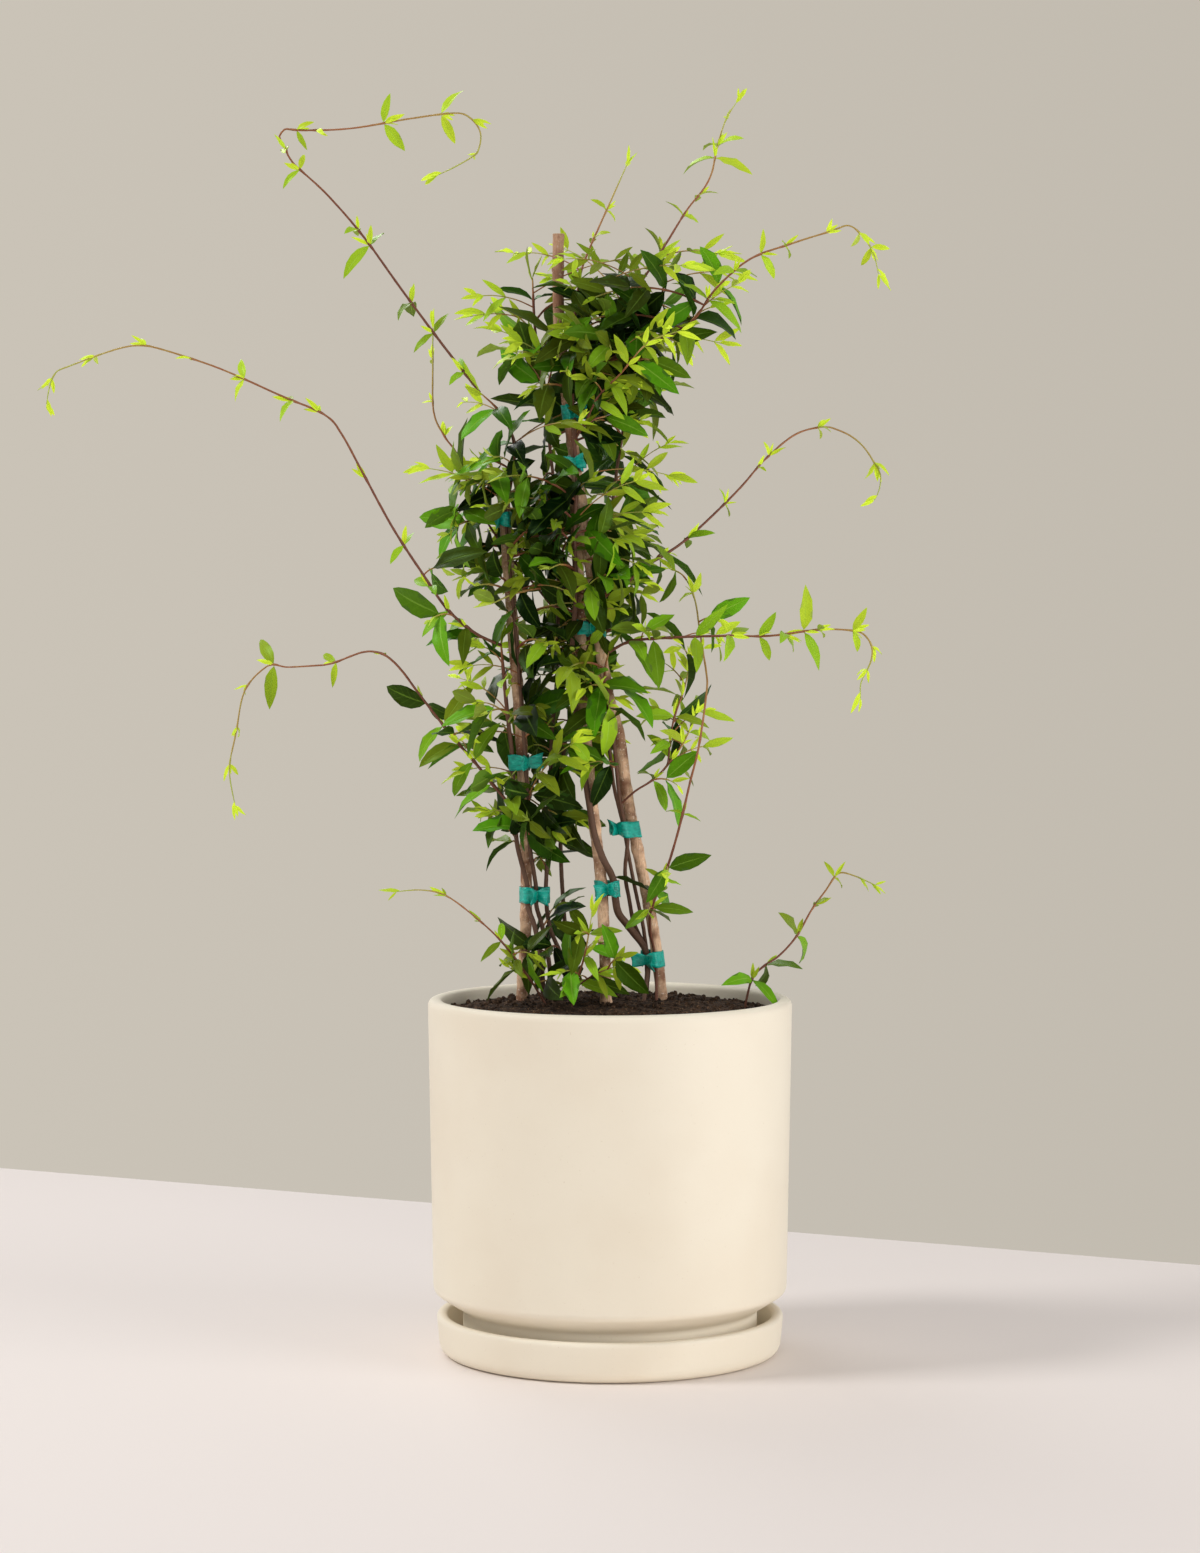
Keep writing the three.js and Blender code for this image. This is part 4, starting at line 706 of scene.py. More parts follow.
# %% Plan the vines
# Each vine starts with the heights between which side shoots stand, and how many. Its first stem is the
# cane, and the rest branch off it. A stem is its route, its radii, spread evenly along it, and its leaf
# pairs: the place along the stem, the leaf's length and its turn in degrees.
VINES = {
    "vine_left_outer": ((392, 556, 6), (
        (((-53, -2, 281), (-55, 0, 311), (-60, 3, 337), (-65.8, 7, 354), (-66.2, 7, 370), (-74, 5, 402),
          (-76, 5, 430), (-77.6, 6.2, 460), (-78.4, 5.8, 476), (-81, 2, 500), (-84, 0, 530), (-87, 0, 565)),
         (2.4, 2.2, 2, 1.8), ()),
        (((-87, 0, 562), (-103, -8, 569), (-117, -16, 579), (-131, -22, 593), (-147, -30, 617),
          (-170, -42, 653), (-193, -54, 696), (-209, -62, 726), (-222, -68, 741), (-255, -80, 755),
          (-301, -92, 775), (-344, -98, 789), (-361, -100, 792), (-380, -100, 789), (-415, -96, 777),
          (-427, -92, 772), (-432, -90, 762), (-435, -88, 748)), (1.5, 1.2, 1, 0.8, 0.7),
         ((0.07, 40, 30), (0.11, 34, 80), (0.17, 27, 10), (0.25, 22, 70), (0.37, 14, 20), (0.5, 10, 60),
          (0.555, 27, 20), (0.64, 22, 70), (0.72, 9, 20), (0.79, 13, 60), (0.88, 13, 10), (0.96, 13, 70))),
        (((-76, 5, 430), (-94, 6, 451), (-109, 14, 469), (-121, 22, 482), (-134, 30, 497), (-155, 44, 523),
          (-168, 52, 540), (-179, 58, 551), (-189, 64, 556), (-203, 70, 556), (-228, 78, 547),
          (-245, 82, 545), (-266, 86, 544), (-281, 88, 545), (-300, 88, 525), (-307, 84, 490),
          (-312, 80, 460), (-307, 76, 431)), (1.5, 1.2, 1, 0.8, 0.7),
         ((0.07, 40, 20), (0.13, 40, 70), (0.18, 36, 10), (0.23, 42, 60), (0.44, 9, 20), (0.545, 22, 70),
          (0.68, 35, 80), (0.75, 15, 20), (0.84, 15, 60), (0.92, 13, 10))),
    )),
    "vine_left_inner": ((384, 724, 10), (
        (((-46, 8, 281), (-49, 8, 310), (-54, 9, 336), (-59, 11, 354), (-59.4, 11, 370), (-64, 3, 402),
          (-65, 2, 436), (-67, 2.6, 460), (-67.8, 2.4, 476), (-72, -3, 534), (-76, -4, 582), (-80, -2, 625),
          (-82.4, -1.4, 654), (-83.2, -1.6, 670), (-78, -6, 695), (-76, -12, 722), (-86, -15, 745),
          (-103, -18, 762)), (2.2, 2, 1.8, 1.6, 1.5, 1.3), ((0.9, 42, 30), (0.96, 40, 80))),
        (((-103, -18, 762), (-119, -24, 782), (-139, -30, 808), (-165, -38, 843), (-194, -45, 883),
          (-222, -50, 915), (-248, -54, 939), (-253, -56, 949), (-258, -58, 959), (-254, -60, 964),
          (-237, -62, 963), (-201, -66, 964), (-157, -68, 971), (-124, -64, 976), (-112, -60, 975),
          (-104, -56, 968), (-101, -52, 960), (-103, -48, 950), (-108, -44, 945), (-123, -40, 937),
          (-135, -36, 932)), (1.3, 1.1, 0.9, 0.8, 0.7),
         ((0.04, 24, 40), (0.13, 22, 80), (0.19, 32, 20), (0.31, 34, 60), (0.34, 22, 10), (0.47, 20, 70),
          (0.52, 24, 20), (0.57, 18, 60), (0.6, 14, 10), (0.7, 27, 70), (0.8, 28, 80), (0.86, 12, 20),
          (0.93, 12, 60))),
    )),
    "vine_left_back": ((400, 850, 13), (
        (((-34, 12, 281), (-38, 11, 310), (-47.5, 11.5, 334), (-50.6, 12, 352), (-51.2, 12, 370),
          (-50, 16, 394), (-48, 20, 438), (-47, 24, 486), (-43, 28, 534), (-42, 31, 582), (-42, 31, 630),
          (-44, 27, 679), (-49, 22, 727), (-54, 15, 774), (-60, 14, 815), (-62, 10, 856)),
         (2.1, 1.9, 1.7, 1.5, 1.2), ((0.97, 30, 20),)),
        (((-42, 31, 586), (-62, 30, 612), (-80, 28, 632), (-92, 32, 650), (-111, 37, 682), (-123, 42, 715),
          (-134, 46, 731), (-143, 50, 751), (-144, 54, 789), (-144, 56, 822)), (1.1, 0.9, 0.7),
         ((0.22, 30, 30), (0.35, 26, 80), (0.5, 22, 20), (0.64, 14, 60), (0.76, 11, 10), (0.88, 9, 70))),
    )),
    "vine_middle": ((540, 812, 12), (
        (((27, -4, 279), (29, 3, 293), (29.9, 6.5, 303), (28.1, 5.5, 319), (15, -7, 338), (7, -17, 349),
          (4.6, -19, 359), (2.2, -16.6, 377), (-5, -22, 392), (-12, -18.5, 411), (-17, -13.5, 439),
          (-22, -9, 470), (-28, -1, 518), (-30, -5, 560), (-27, -17, 602), (-28, -19, 650),
          (-26.1, -20, 698), (-27.9, -19.8, 714), (-28.2, -18.9, 738), (-30, -18.6, 754), (-27, -11, 785),
          (-14, -4, 803), (-1, 0, 815)), (1.7, 3.6, 3.3, 2.9, 2.6, 2.4, 2.2, 2, 1.9, 1.8, 1.6), ()),
        (((-1, 0, 815), (11, 6, 833), (35, 18, 868), (61, 30, 911), (74, 36, 928), (82, 40, 943),
          (87, 46, 966), (94, 48, 988), (104, 48, 1004)), (1.3, 1.1, 0.9, 0.7),
         ((0.08, 36, 20), (0.2, 32, 80), (0.33, 26, 30), (0.5, 21, 70), (0.58, 19, 10), (0.74, 36, 20),
          (0.79, 27, 60), (0.92, 15, 10))),
        (((-27, -11, 785), (-28, 3, 822), (-24, 10, 856), (-18, 16, 876), (-1, 28, 916), (14, 40, 951)),
         (1.2, 1, 0.7), ((0.25, 34, 20), (0.4, 28, 70), (0.62, 20, 20), (0.76, 16, 80))),
        (((-28, -18, 765), (-4, -25, 784), (28, -24, 800), (62, -22, 815), (83, -34, 842), (109, -46, 864),
          (141, -58, 875), (172, -66, 884), (186, -68, 888), (197, -68, 879), (205, -66, 867),
          (209, -64, 851)), (1.3, 1.1, 0.9, 0.7),
         ((0.12, 40, 20), (0.22, 40, 80), (0.32, 42, 20), (0.42, 36, 60), (0.52, 28, 10), (0.6, 22, 70),
          (0.68, 17, 20), (0.78, 13, 60), (0.88, 18, 10), (0.94, 17, 70))),
        (((-28, -19.5, 724), (-19, -34, 738), (-9, -44, 757), (8, -52, 774), (30, -58, 798),
          (55, -62, 807)), (1, 0.8, 0.6),
         ((0.16, 27, 20), (0.32, 30, 70), (0.48, 30, 20), (0.64, 27, 70), (0.78, 24, 20), (0.9, 22, 70))),
    )),
    "vine_right_arch": ((545, 606, 3), (
        (((29, 17, 279), (30, 16, 292), (31, 15.5, 303), (29, 14.5, 319), (26, 6, 340), (22, 5.5, 358),
          (17.5, 4.5, 380), (12.6, 2.6, 407), (9.4, 1.4, 423), (3, 0.5, 450), (-1.5, -2, 485),
          (-13, -8, 535), (-18, -5, 552), (-16.4, -1, 567), (-17.6, -1, 583), (-12, 5, 594), (0, 5, 603),
          (12, 2, 609)), (1.9, 1.7, 1.6, 1.5), ()),
        (((12, 2, 609), (26, 8, 623), (55, 24, 642), (79, 38, 663), (106, 52, 690), (126, 64, 713),
          (151, 74, 734), (174, 82, 741), (186, 84, 739), (199, 86, 733), (209, 86, 724), (217, 86, 712),
          (222, 84, 702), (221, 82, 690), (217, 80, 681)), (1.4, 1.2, 1, 0.8, 0.7),
         ((0.07, 36, 20), (0.13, 32, 70), (0.23, 24, 20), (0.37, 16, 60), (0.5, 12, 10), (0.56, 14, 70),
          (0.71, 18, 20), (0.9, 19, 60))),
    )),
    "vine_right_level": ((500, 556, 3), (
        (((28, 26, 279), (29, 24.5, 292), (30, 23.5, 303), (28, 22.5, 319), (19, 13, 340), (15.5, 7, 358),
          (12, 0, 380), (14, -4.4, 407), (11, -5.6, 423), (7, -6, 446), (3, -10, 485), (-4, -14.5, 535),
          (-1, -17, 556)), (1.9, 1.8, 1.7), ()),
        (((-1, -17, 556), (17, -22, 565), (53, -42, 568), (89, -58, 569), (124, -72, 569), (154, -82, 573),
          (170, -86, 574), (187, -88, 573), (196, -88, 570), (202, -88, 561), (202, -86, 551),
          (199, -84, 543), (194, -82, 532), (194, -80, 521)), (1.4, 1.2, 1, 0.8, 0.7),
         ((0.08, 44, 20), (0.15, 40, 80), (0.22, 34, 20), (0.29, 36, 70), (0.4, 34, 10), (0.5, 23, 60),
          (0.57, 30, 20), (0.63, 34, 80), (0.67, 20, 30), (0.76, 20, 70), (0.84, 13, 20), (0.92, 12, 70))),
        (((9, -5.5, 436), (20, -12, 446), (34, -12, 455), (46, -8, 467), (60, -4, 487), (68, 0, 507)),
         (1.1, 0.9, 0.7), ((0.35, 32, 20), (0.55, 34, 70), (0.7, 30, 20), (0.84, 26, 80))),
        (((46, -8, 467), (50, -8, 500), (60, -2, 530), (64, 4, 552)), (0.9, 0.8, 0.6),
         ((0.2, 32, 20), (0.42, 32, 70), (0.62, 27, 20), (0.82, 24, 80))),
    )),
    "vine_loop": ((), (
        (((37, -2, 279), (37, 1, 292), (37, 2.5, 303), (35, 1.5, 319), (32, -8, 334), (32, -20, 350),
          (38, -26, 368), (47, -30, 392), (56, -34, 424), (63, -36, 454), (70, -38, 483), (76, -36, 525),
          (76, -34, 539), (73, -28, 559), (70, -22, 580), (68, -14, 595), (63, -6, 610), (56, 0, 619),
          (47, 2, 623)), (1.4, 1.3, 1.1, 0.9, 0.7),
         ((0.22, 34, 20), (0.29, 18, 70), (0.44, 16, 20), (0.6, 11, 60), (0.78, 16, 10), (0.9, 21, 70))),
    )),
    "vine_back": ((470, 850, 11), (
        (((-30, 45, 279), (-36, 43, 330), (-40, 41, 400), (-38, 41, 470), (-25, 39, 540), (-10, 37, 600),
          (0, 35, 660), (8, 34, 720), (20, 30, 780), (36, 22, 822), (46, 6, 862)),
         (2.1, 1.9, 1.7, 1.5, 1.1), ((0.95, 32, 30),)),
    )),
    "shoot_low_left": ((), (
        (((-51, -30, 279), (-66, -40, 304), (-85, -52, 330), (-104, -62, 349), (-127, -72, 367),
          (-146, -78, 372), (-165, -82, 371)), (1, 0.8, 0.6),
         ((0.14, 42, 80), (0.28, 27, 20), (0.4, 23, 70), (0.54, 15, 20), (0.75, 9, 60))),
    )),
    "shoot_low_front": ((), (
        (((-30, -38, 279), (-26, -42, 298), (-20, -46, 318), (-16, -48, 340), (-14, -48, 352)),
         (1.1, 0.9, 0.7), ((0.28, 34, 20), (0.55, 34, 70), (0.8, 27, 20))),
        (((-27, -41, 292), (-14, -52, 303), (2, -58, 310), (14, -60, 310)), (0.8, 0.7, 0.6),
         ((0.45, 24, 20), (0.8, 20, 70))),
    )),
    "shoot_rim_right": ((), (
        (((108, 0, 276), (113, 2, 295), (121, 6, 304), (136, 12, 314), (150, 18, 329), (162, 24, 349),
          (174, 28, 365), (184, 30, 378), (197, 30, 376), (213, 28, 369)), (1.1, 0.9, 0.7),
         ((0.12, 40, 80), (0.24, 40, 20), (0.45, 40, 60), (0.62, 18, 20), (0.76, 16, 70), (0.9, 15, 20))),
    )),
}
print("vines", len(VINES))

# %% Plan the ties: name, stake, height and the vines that the tape holds to it
TIES = (
    ("tie_right_low", "right", 311, ("vine_middle", "vine_right_arch", "vine_right_level", "vine_loop")),
    ("tie_right_high", "right", 415, ("vine_right_arch", "vine_right_level")),
    ("tie_middle_low", "middle", 369, ("vine_middle",)),
    ("tie_left_low", "left", 362, ("vine_left_outer", "vine_left_inner", "vine_left_back")),
    ("tie_left_mid", "left", 468, ("vine_left_outer", "vine_left_inner")),
    ("tie_right_mid", "right", 575, ("vine_right_arch",)),
    ("tie_left_top", "left", 662, ("vine_left_inner",)),
    ("tie_right_upper", "right", 706, ("vine_middle",)),
    ("tie_right_top", "right", 746, ("vine_middle",)),
)

# %% [markdown]
# The growth rule
#
# The solids grew their side shoots and leaves by a rule with seeded draws. The same rule, with the same
# draws, runs here again, so that each fine leaf lies where the solids have a plain one. Clearances are
# measured with numpy: one call gives the distance from many points to their nearest neighbour in a cloud of
# others.

# %% Seeded draws and smooth paths
PATH_STEP = 5
STEEP = 0.35
UP = np.array([0.0, 0.0, 1.0])
DRAW_FACTOR = 16807
DRAW_WHOLE = 2147483647


def draws(seed):
    """Numbers from 0 to 1 by the Park-Miller rule. The first three are thrown away."""
    state = seed
    for warm in range(3):
        state = state * DRAW_FACTOR % DRAW_WHOLE
    while True:
        state = state * DRAW_FACTOR % DRAW_WHOLE
        yield state / DRAW_WHOLE


def drawn(span, draw):
    """A number drawn from a (least value, span) pair."""
    return span[0] + span[1] * next(draw)


def unit(vector):
    """A vector brought to length 1."""
    return vector / np.linalg.norm(vector)


def smooth_path(route):
    """A Catmull-Rom path through a route's points, with a point about every step."""
    knots = np.array(route, dtype=float)
    path = []
    for at in range(len(knots) - 1):
        before, after = knots[max(at - 1, 0)], knots[min(at + 2, len(knots) - 1)]
        start, end = knots[at], knots[at + 1]
        count = max(1, math.floor(np.linalg.norm(end - start) / PATH_STEP + 0.5))
        for k in range(count):
            t = k / count
            bend = 2 * before - 5 * start + 4 * end - after
            twist = 3 * start - before - 3 * end + after
            path.append(0.5 * (2 * start + (end - before) * t + bend * t * t + twist * t * t * t))
    path.append(knots[-1])
    return np.array(path)


def gaps(points, cloud):
    """The distance from each of some points to the nearest point of a cloud."""
    if len(cloud) == 0:
        return np.full(len(points), np.inf)
    apart = np.asarray(points)[:, None, :] - np.asarray(cloud)[None, :, :]
    return np.sqrt((apart * apart).sum(axis=2).min(axis=1))


# %% Grow the canes and runners
stake_paths = {name: smooth_path(route) for name, route in STAKES.items()}
stake_points = np.concatenate(list(stake_paths.values()))


def new_stem(path, thick, pairs, kind):
    """A stem: its path, radii, leaf pairs and what kind of stem it is."""
    return {"path": path, "thick": thick, "pairs": pairs, "kind": kind}


def branch_point(stems, wanted):
    """The point of some stems that lies nearest to where a branch should start."""
    points = np.concatenate([stem["path"] for stem in stems])
    return points[np.linalg.norm(points - np.array(wanted), axis=1).argmin()]


vine_stems = []
for bushy, plans in VINES.values():
    stems = []
    for route, thick, pairs in plans:
        start = branch_point(stems, route[0]) if stems else route[0]
        kind = "runner" if stems or not bushy else "cane"
        stems.append(new_stem(smooth_path([start, *route[1:]]), thick, pairs, kind))
    vine_stems.append(stems)
stem_points = [np.concatenate([stem["path"] for stem in stems]) for stems in vine_stems]
print("vines", len(vine_stems), "stems", sum(len(stems) for stems in vine_stems))

# %% Find what each tie holds
TIE_HEIGHT = 12.7
TIE_GAP = 0.6
TIE_CORNERS = 5
TIE_RISES = (-5, 0, 5)
STAKE_RADIUS = 4.7


def at_height(path, height):
    """The point where a path first passes a height."""
    for low, high in zip(path[:-1], path[1:]):
        if low[2] <= height <= high[2]:
            rise = high[2] - low[2]
            return low + (high - low) * ((height - low[2]) / rise if rise > 0 else 0)
    return path[-1]


def index_at_height(path, height):
    """The place in a path of its first point at or above a height."""
    return int(np.argmax(path[:, 2] >= height))


def lean_of(path, height):
    """How far a stake leans sideways for each millimetre that it rises."""
    ends = [at_height(path, height + rise) for rise in (TIE_HEIGHT, -TIE_HEIGHT)]
    return (ends[0] - ends[1])[:2] / (2 * TIE_HEIGHT)


def held_by(stake, height, vines):
    """What a tie holds, brought to one height along the stake's lean: pairs of a centre and a radius."""
    lean = lean_of(stake_paths[stake], height)
    held = []
    for level in (-1, 0, 1):
        rise = level * (TIE_HEIGHT / 2 + 1)
        held.append((at_height(stake_paths[stake], height + rise)[:2] - lean * rise, STAKE_RADIUS))
        for name in vines:
            cane = vine_stems[list(VINES).index(name)][0]
            thick = cane["thick"]
            index = index_at_height(cane["path"], height + rise)
            share = index / (len(cane["path"]) - 1)
            radius = float(np.interp(share * (len(thick) - 1), range(len(thick)), thick))
            held.append((cane["path"][index][:2] - lean * rise, radius))
    return held


def outline_round(points):
    """The corners of the smallest outline round some level points, the other way from a clock's hand."""
    def half(run):
        kept = []
        for point in run:
            while len(kept) > 1:
                step, turn = kept[-1] - kept[-2], point - kept[-2]
                if step[0] * turn[1] - step[1] * turn[0] > 1e-9:
                    break
                kept.pop()
            kept.append(point)
        return kept[:-1]

    run = sorted(points, key=lambda point: (point[0], point[1]))
    return np.array(half(run) + half(run[::-1]))


def round_held(held, past, corners):
    """The outline round each held thing at a distance past its radius."""
    points = []
    for centre, radius in held:
        reach = (radius + past) / math.cos(math.pi / corners)
        for k in range(corners):
            turn = 2 * math.pi * (k + 0.5) / corners
            points.append(centre + reach * np.array([math.cos(turn), math.sin(turn)]))
    return outline_round(points)


tie_holds = [held_by(stake, height, vines) for name, stake, height, vines in TIES]
tie_points = []
for (name, stake, height, vines), held in zip(TIES, tie_holds):
    ring = round_held(held, TIE_GAP, TIE_CORNERS)
    for corner, following in zip(ring, np.roll(ring, -1, axis=0)):
        for point in (corner, corner * 0.5 + following * 0.5):
            tie_points += [(*point, height + rise) for rise in TIE_RISES]
tie_points = np.array(tie_points)
print("ties", len(TIES))

# %% Say where leaves and shoots may go
POT_RIM_CLEAR = 4
SOIL_CLEAR = 2.5
TIE_CLEAR = 5.5
REACH_STEP = 2
REACH_MOST = 122


def clear_of_holders(points, stake_clear):
    """Whether every point is clear of the pot's rim, the soil, the stakes and the ties."""
    out = np.hypot(points[:, 0], points[:, 1])
    low = (points[:, 2] < POT_TOP + POT_RIM_CLEAR) & (out < POT_RADIUS + POT_RIM_CLEAR)
    within = out < POT_RADIUS - POT_WALL - POT_RIM_CLEAR
    above = points[:, 2] > soil_height(points[:, 0], points[:, 1]) + SOIL_CLEAR
    free = (gaps(points, stake_points) > stake_clear) & (gaps(points, tie_points) > TIE_CLEAR)
    return bool(np.where(low, within & above, free).all())


def clear_of_vines(path, owner, clear):
    """Whether a shoot, past its first two points, stays a distance away from the other vines."""
    others = [points for vine, points in enumerate(stem_points) if vine != owner]
    return all((gaps(path[2:], points) > clear).all() for points in others)


def near_tie(path, index):
    """Whether a point of a path is too near a tie for a side shoot to stand there."""
    return gaps(path[index:index + 1], tie_points)[0] < 2 * TIE_CLEAR


def bush_reach(point, turn):
    """How far the bush reaches from a point in a level direction."""
    row = 0
    while row + 2 < len(BUSH) and BUSH[row + 1][0] < point[2]:
        row += 1
    share = min(max((point[2] - BUSH[row][0]) / (BUSH[row + 1][0] - BUSH[row][0]), 0), 1)
    left, right, front, back = (
        BUSH[row][side] * (1 - share) + BUSH[row + 1][side] * share for side in (1, 2, 3, 4))
    reach = 0
    while reach < REACH_MOST:
        x = (point[0] + reach * math.cos(turn) - (left + right) / 2) / ((right - left) / 2)
        y = (point[1] + reach * math.sin(turn) - (front + back) / 2) / ((back - front) / 2)
        if x * x + y * y > 1:
            break
        reach += REACH_STEP
    return reach


# %% Grow the side shoots that the solids have
STAKE_CLEAR = 8.2
STEM_CLEAR = 6
VINE_SEED = 10007
STEM_SEED = 211
PAIR_SEED = 7
FIRST_SHOOT = 40
GOLDEN_TURN = 2.399963
SHOOT_TURN = (0, 0.8)
SHOOT_RISE = (0.25, 0.6)
SHOOT_LEAF = (36, 12)
SHOOT_TRIES = (0, 0.9, -0.9, 1.8, -1.8)
SHOOT_STEPS = 4
SHOOT_ARCH = 0.24
SHOOT_SHORTEST = 22
SHOOT_LONGEST = 100
SHOOT_LONG = 60
SHOOT_THICK = (1.2, 1)
LONG_PAIRS = ((0.4, 1, 0), (0.7, 1, 90), (0.96, 0.8, 20))
SHORT_PAIRS = ((0.6, 1, 0), (0.95, 0.85, 80))


def seed_of(vine, stem, pair):
    """A number that names one leaf pair or shoot, so that its draws depend on nothing else."""
    return 1 + vine * VINE_SEED + stem * STEM_SEED + pair * PAIR_SEED


def shoot_path(start, turn, slope, size, arch=SHOOT_ARCH):
    """A side shoot's path: it leaves upwards, arches over and hangs a little at its end."""
    out = np.array([math.cos(turn), math.sin(turn), 0])
    route = [start]
    for step in range(SHOOT_STEPS):
        route.append(route[-1] + (out * math.cos(slope) + UP * math.sin(slope)) * size / SHOOT_STEPS)
        slope -= arch
    return smooth_path(route)


for owner, (bushy, _) in enumerate(VINES.values()):
    if not bushy:
        continue
    low, high, count = bushy
    cane = vine_stems[owner][0]["path"]
    for at in range(count):
        draw = draws(seed_of(owner, FIRST_SHOOT + at, 0))
        index = index_at_height(cane, low + (high - low) * (at + 0.5 * next(draw)) / count)
        while near_tie(cane, index):
            index += 1
        turned = GOLDEN_TURN * (at + owner * 3) + drawn(SHOOT_TURN, draw)
        slope = drawn(SHOOT_RISE, draw)
        for more in SHOOT_TRIES:
            size = bush_reach(cane[index], turned + more) - SHOOT_SHORTEST
            size = min(max(size, SHOOT_SHORTEST), SHOOT_LONGEST)
            path = shoot_path(cane[index], turned + more, slope, size)
            if clear_of_holders(path[2:], STAKE_CLEAR) and clear_of_vines(path, owner, STEM_CLEAR):
                leaf_size = drawn(SHOOT_LEAF, draw)
                plan = LONG_PAIRS if size > SHOOT_LONG else SHORT_PAIRS
                pairs = [(place, leaf_size * share, turn) for place, share, turn in plan]
                vine_stems[owner].append(new_stem(path, SHOOT_THICK, pairs, "shoot"))
                stem_points[owner] = np.concatenate([stem_points[owner], path])
                break
print("stems with side shoots", sum(len(stems) for stems in vine_stems))

# %% Shape a leaf, and say where it fits
LEAF_STRETCH = (0.9, 0.2)
LEAF_TRIES = (0, 0.5, -0.5, 1, -1, 1.6, -1.6)
BIG_LEAF = 30
BIG_SAG = -0.42
SMALL_SAG = -0.2
STALK_SHARE = 0.07
WIDEST_POWER = 0.62
LEAF_MARKS = ((0.4, -0.9), (0.4, 0.9), (0.4, 0), (0.62, 0), (0.85, 0))
LEAF_PLACES = (0.14, 0.28, 0.42, 0.56, 0.7, 0.85, 1)
LEAF_GRID = [(place, across) for place in LEAF_PLACES for across in (-1, 0, 1)]
LEAF_APART = 7.5
OWN_MARGIN = 3
OWN_CLEAR = 3.4
OWN_SHARE = 0.085


def leaf_width(place):
    """Half the width of a leaf as a share of its widest, from the stalk at 0 to the tip at 1."""
    blade = max(0.0, (place - STALK_SHARE) / (1 - STALK_SHARE))
    return max(STALK_SHARE * (1 - place), math.sin(math.pi * blade ** WIDEST_POWER))


def leaf_points(leaf, places):
    """Points of a leaf, by pairs of a place along it and one across it, from its left edge at -1 to 1."""
    points = []
    for place, across in places:
        bend = leaf["droop"] * place
        reach, drop = math.sin(bend) / leaf["droop"], (1 - math.cos(bend)) / leaf["droop"]
        middle = leaf["base"] + leaf["ahead"] * leaf["size"] * reach - leaf["face"] * leaf["size"] * drop
        face = leaf["face"] * math.cos(bend) + leaf["ahead"] * math.sin(bend)
        half = leaf["half"] * leaf_width(place)
        points.append(middle + leaf["side"] * across * half + face * leaf["fold"] * abs(across) * half)
    return np.array(points)


def leaf_apart(leaf, apart, stake_clear):
    """Whether a leaf stays apart from other leaves, and clear of stakes, ties, pot and soil."""
    if (gaps(leaf_points(leaf, LEAF_MARKS), leaf_marks["points"]) < apart).any():
        return False
    return clear_of_holders(leaf_points(leaf, LEAF_GRID), stake_clear)


def solid_leaf_fits(leaf, owner):
    """Whether a leaf of the solids also stays in its own vine's room."""
    if not leaf_apart(leaf, LEAF_APART, STAKE_CLEAR):
        return False
    points = leaf_points(leaf, LEAF_GRID)
    own = gaps(points, stem_points[owner])
    if (own[3:] < min(OWN_CLEAR, OWN_SHARE * leaf["size"])).any():
        return False
    return all((gaps(points, cloud) >= own + OWN_MARGIN).all()
               for vine, cloud in enumerate(stem_points) if vine != owner)


# %% Grow the leaves that the solids have
TINY_LEAF = 15.5

# A look holds the spans of a leaf's lean, plumpness, droop, fold and roll, then its sag, how much it
# turns outwards, and where the light is that it turns to
SOLID_LOOK = (((0.85, 0.5), (0.155, 0.05), (0.35, 0.7), (0.22, 0.3), (-0.45, 0.9)),
              None, 1.0, (35.0, -5.0, 60.0))


def leaf_at(stem, index, size, turn, draw, look):
    """Tries of one leaf, each turned further about its stem."""
    path = stem["path"]
    point = path[index]
    along = unit(path[min(index + 1, len(path) - 1)] - path[max(index - 1, 0)])
    level = np.cross(along, UP)
    if np.linalg.norm(level) <= STEEP:
        level = np.cross(along, (0, 1, 0))
    first = unit(level)
    second = np.cross(first, along)
    spans, sag, pull, light = look
    lean, plump, droop, fold, roll = (drawn(span, draw) for span in spans)
    whole = size * drawn(LEAF_STRETCH, draw)
    hang = UP * (sag if sag else BIG_SAG if size > BIG_LEAF else SMALL_SAG)
    outward = unit(np.array([point[0], point[1], 0]) * pull + light)
    for more in LEAF_TRIES:
        radial = first * math.cos(turn + more) + second * math.sin(turn + more)
        ahead = unit(along * math.cos(lean) + radial * math.sin(lean) + hang)
        wanted = outward + np.cross(ahead, outward) * roll
        face = unit(wanted - ahead * wanted.dot(ahead))
        yield {"base": point, "ahead": ahead, "face": face, "side": np.cross(ahead, face), "size": whole,
               "half": whole * plump, "droop": droop, "fold": fold, "place": index / (len(path) - 1),
               "kind": stem["kind"], "tuft": False}


def index_at(stem, place):
    """The point of a stem's path at a place from 0 to 1."""
    return math.floor(place * (len(stem["path"]) - 1) + 0.5)


def grow_leaves(stem, owner, seed, step, fits, look):
    """Grows a stem's leaf pairs, each leaf at the first of its tries that fits. A tiny leaf stands alone."""
    for pair, (place, size, turn) in enumerate(stem["pairs"]):
        for side in (0, 1) if size >= TINY_LEAF else (0,):
            draw = draws(seed + step * (pair * 2 + side))
            turned = math.radians(turn) + math.pi * side
            for leaf in leaf_at(stem, index_at(stem, place), size, turned, draw, look):
                if fits(leaf, owner):
                    marks = [leaf_marks["points"], leaf_points(leaf, LEAF_MARKS)]
                    leaf_marks["points"] = np.concatenate(marks)
                    vine_leaves[owner].append(leaf)
                    break


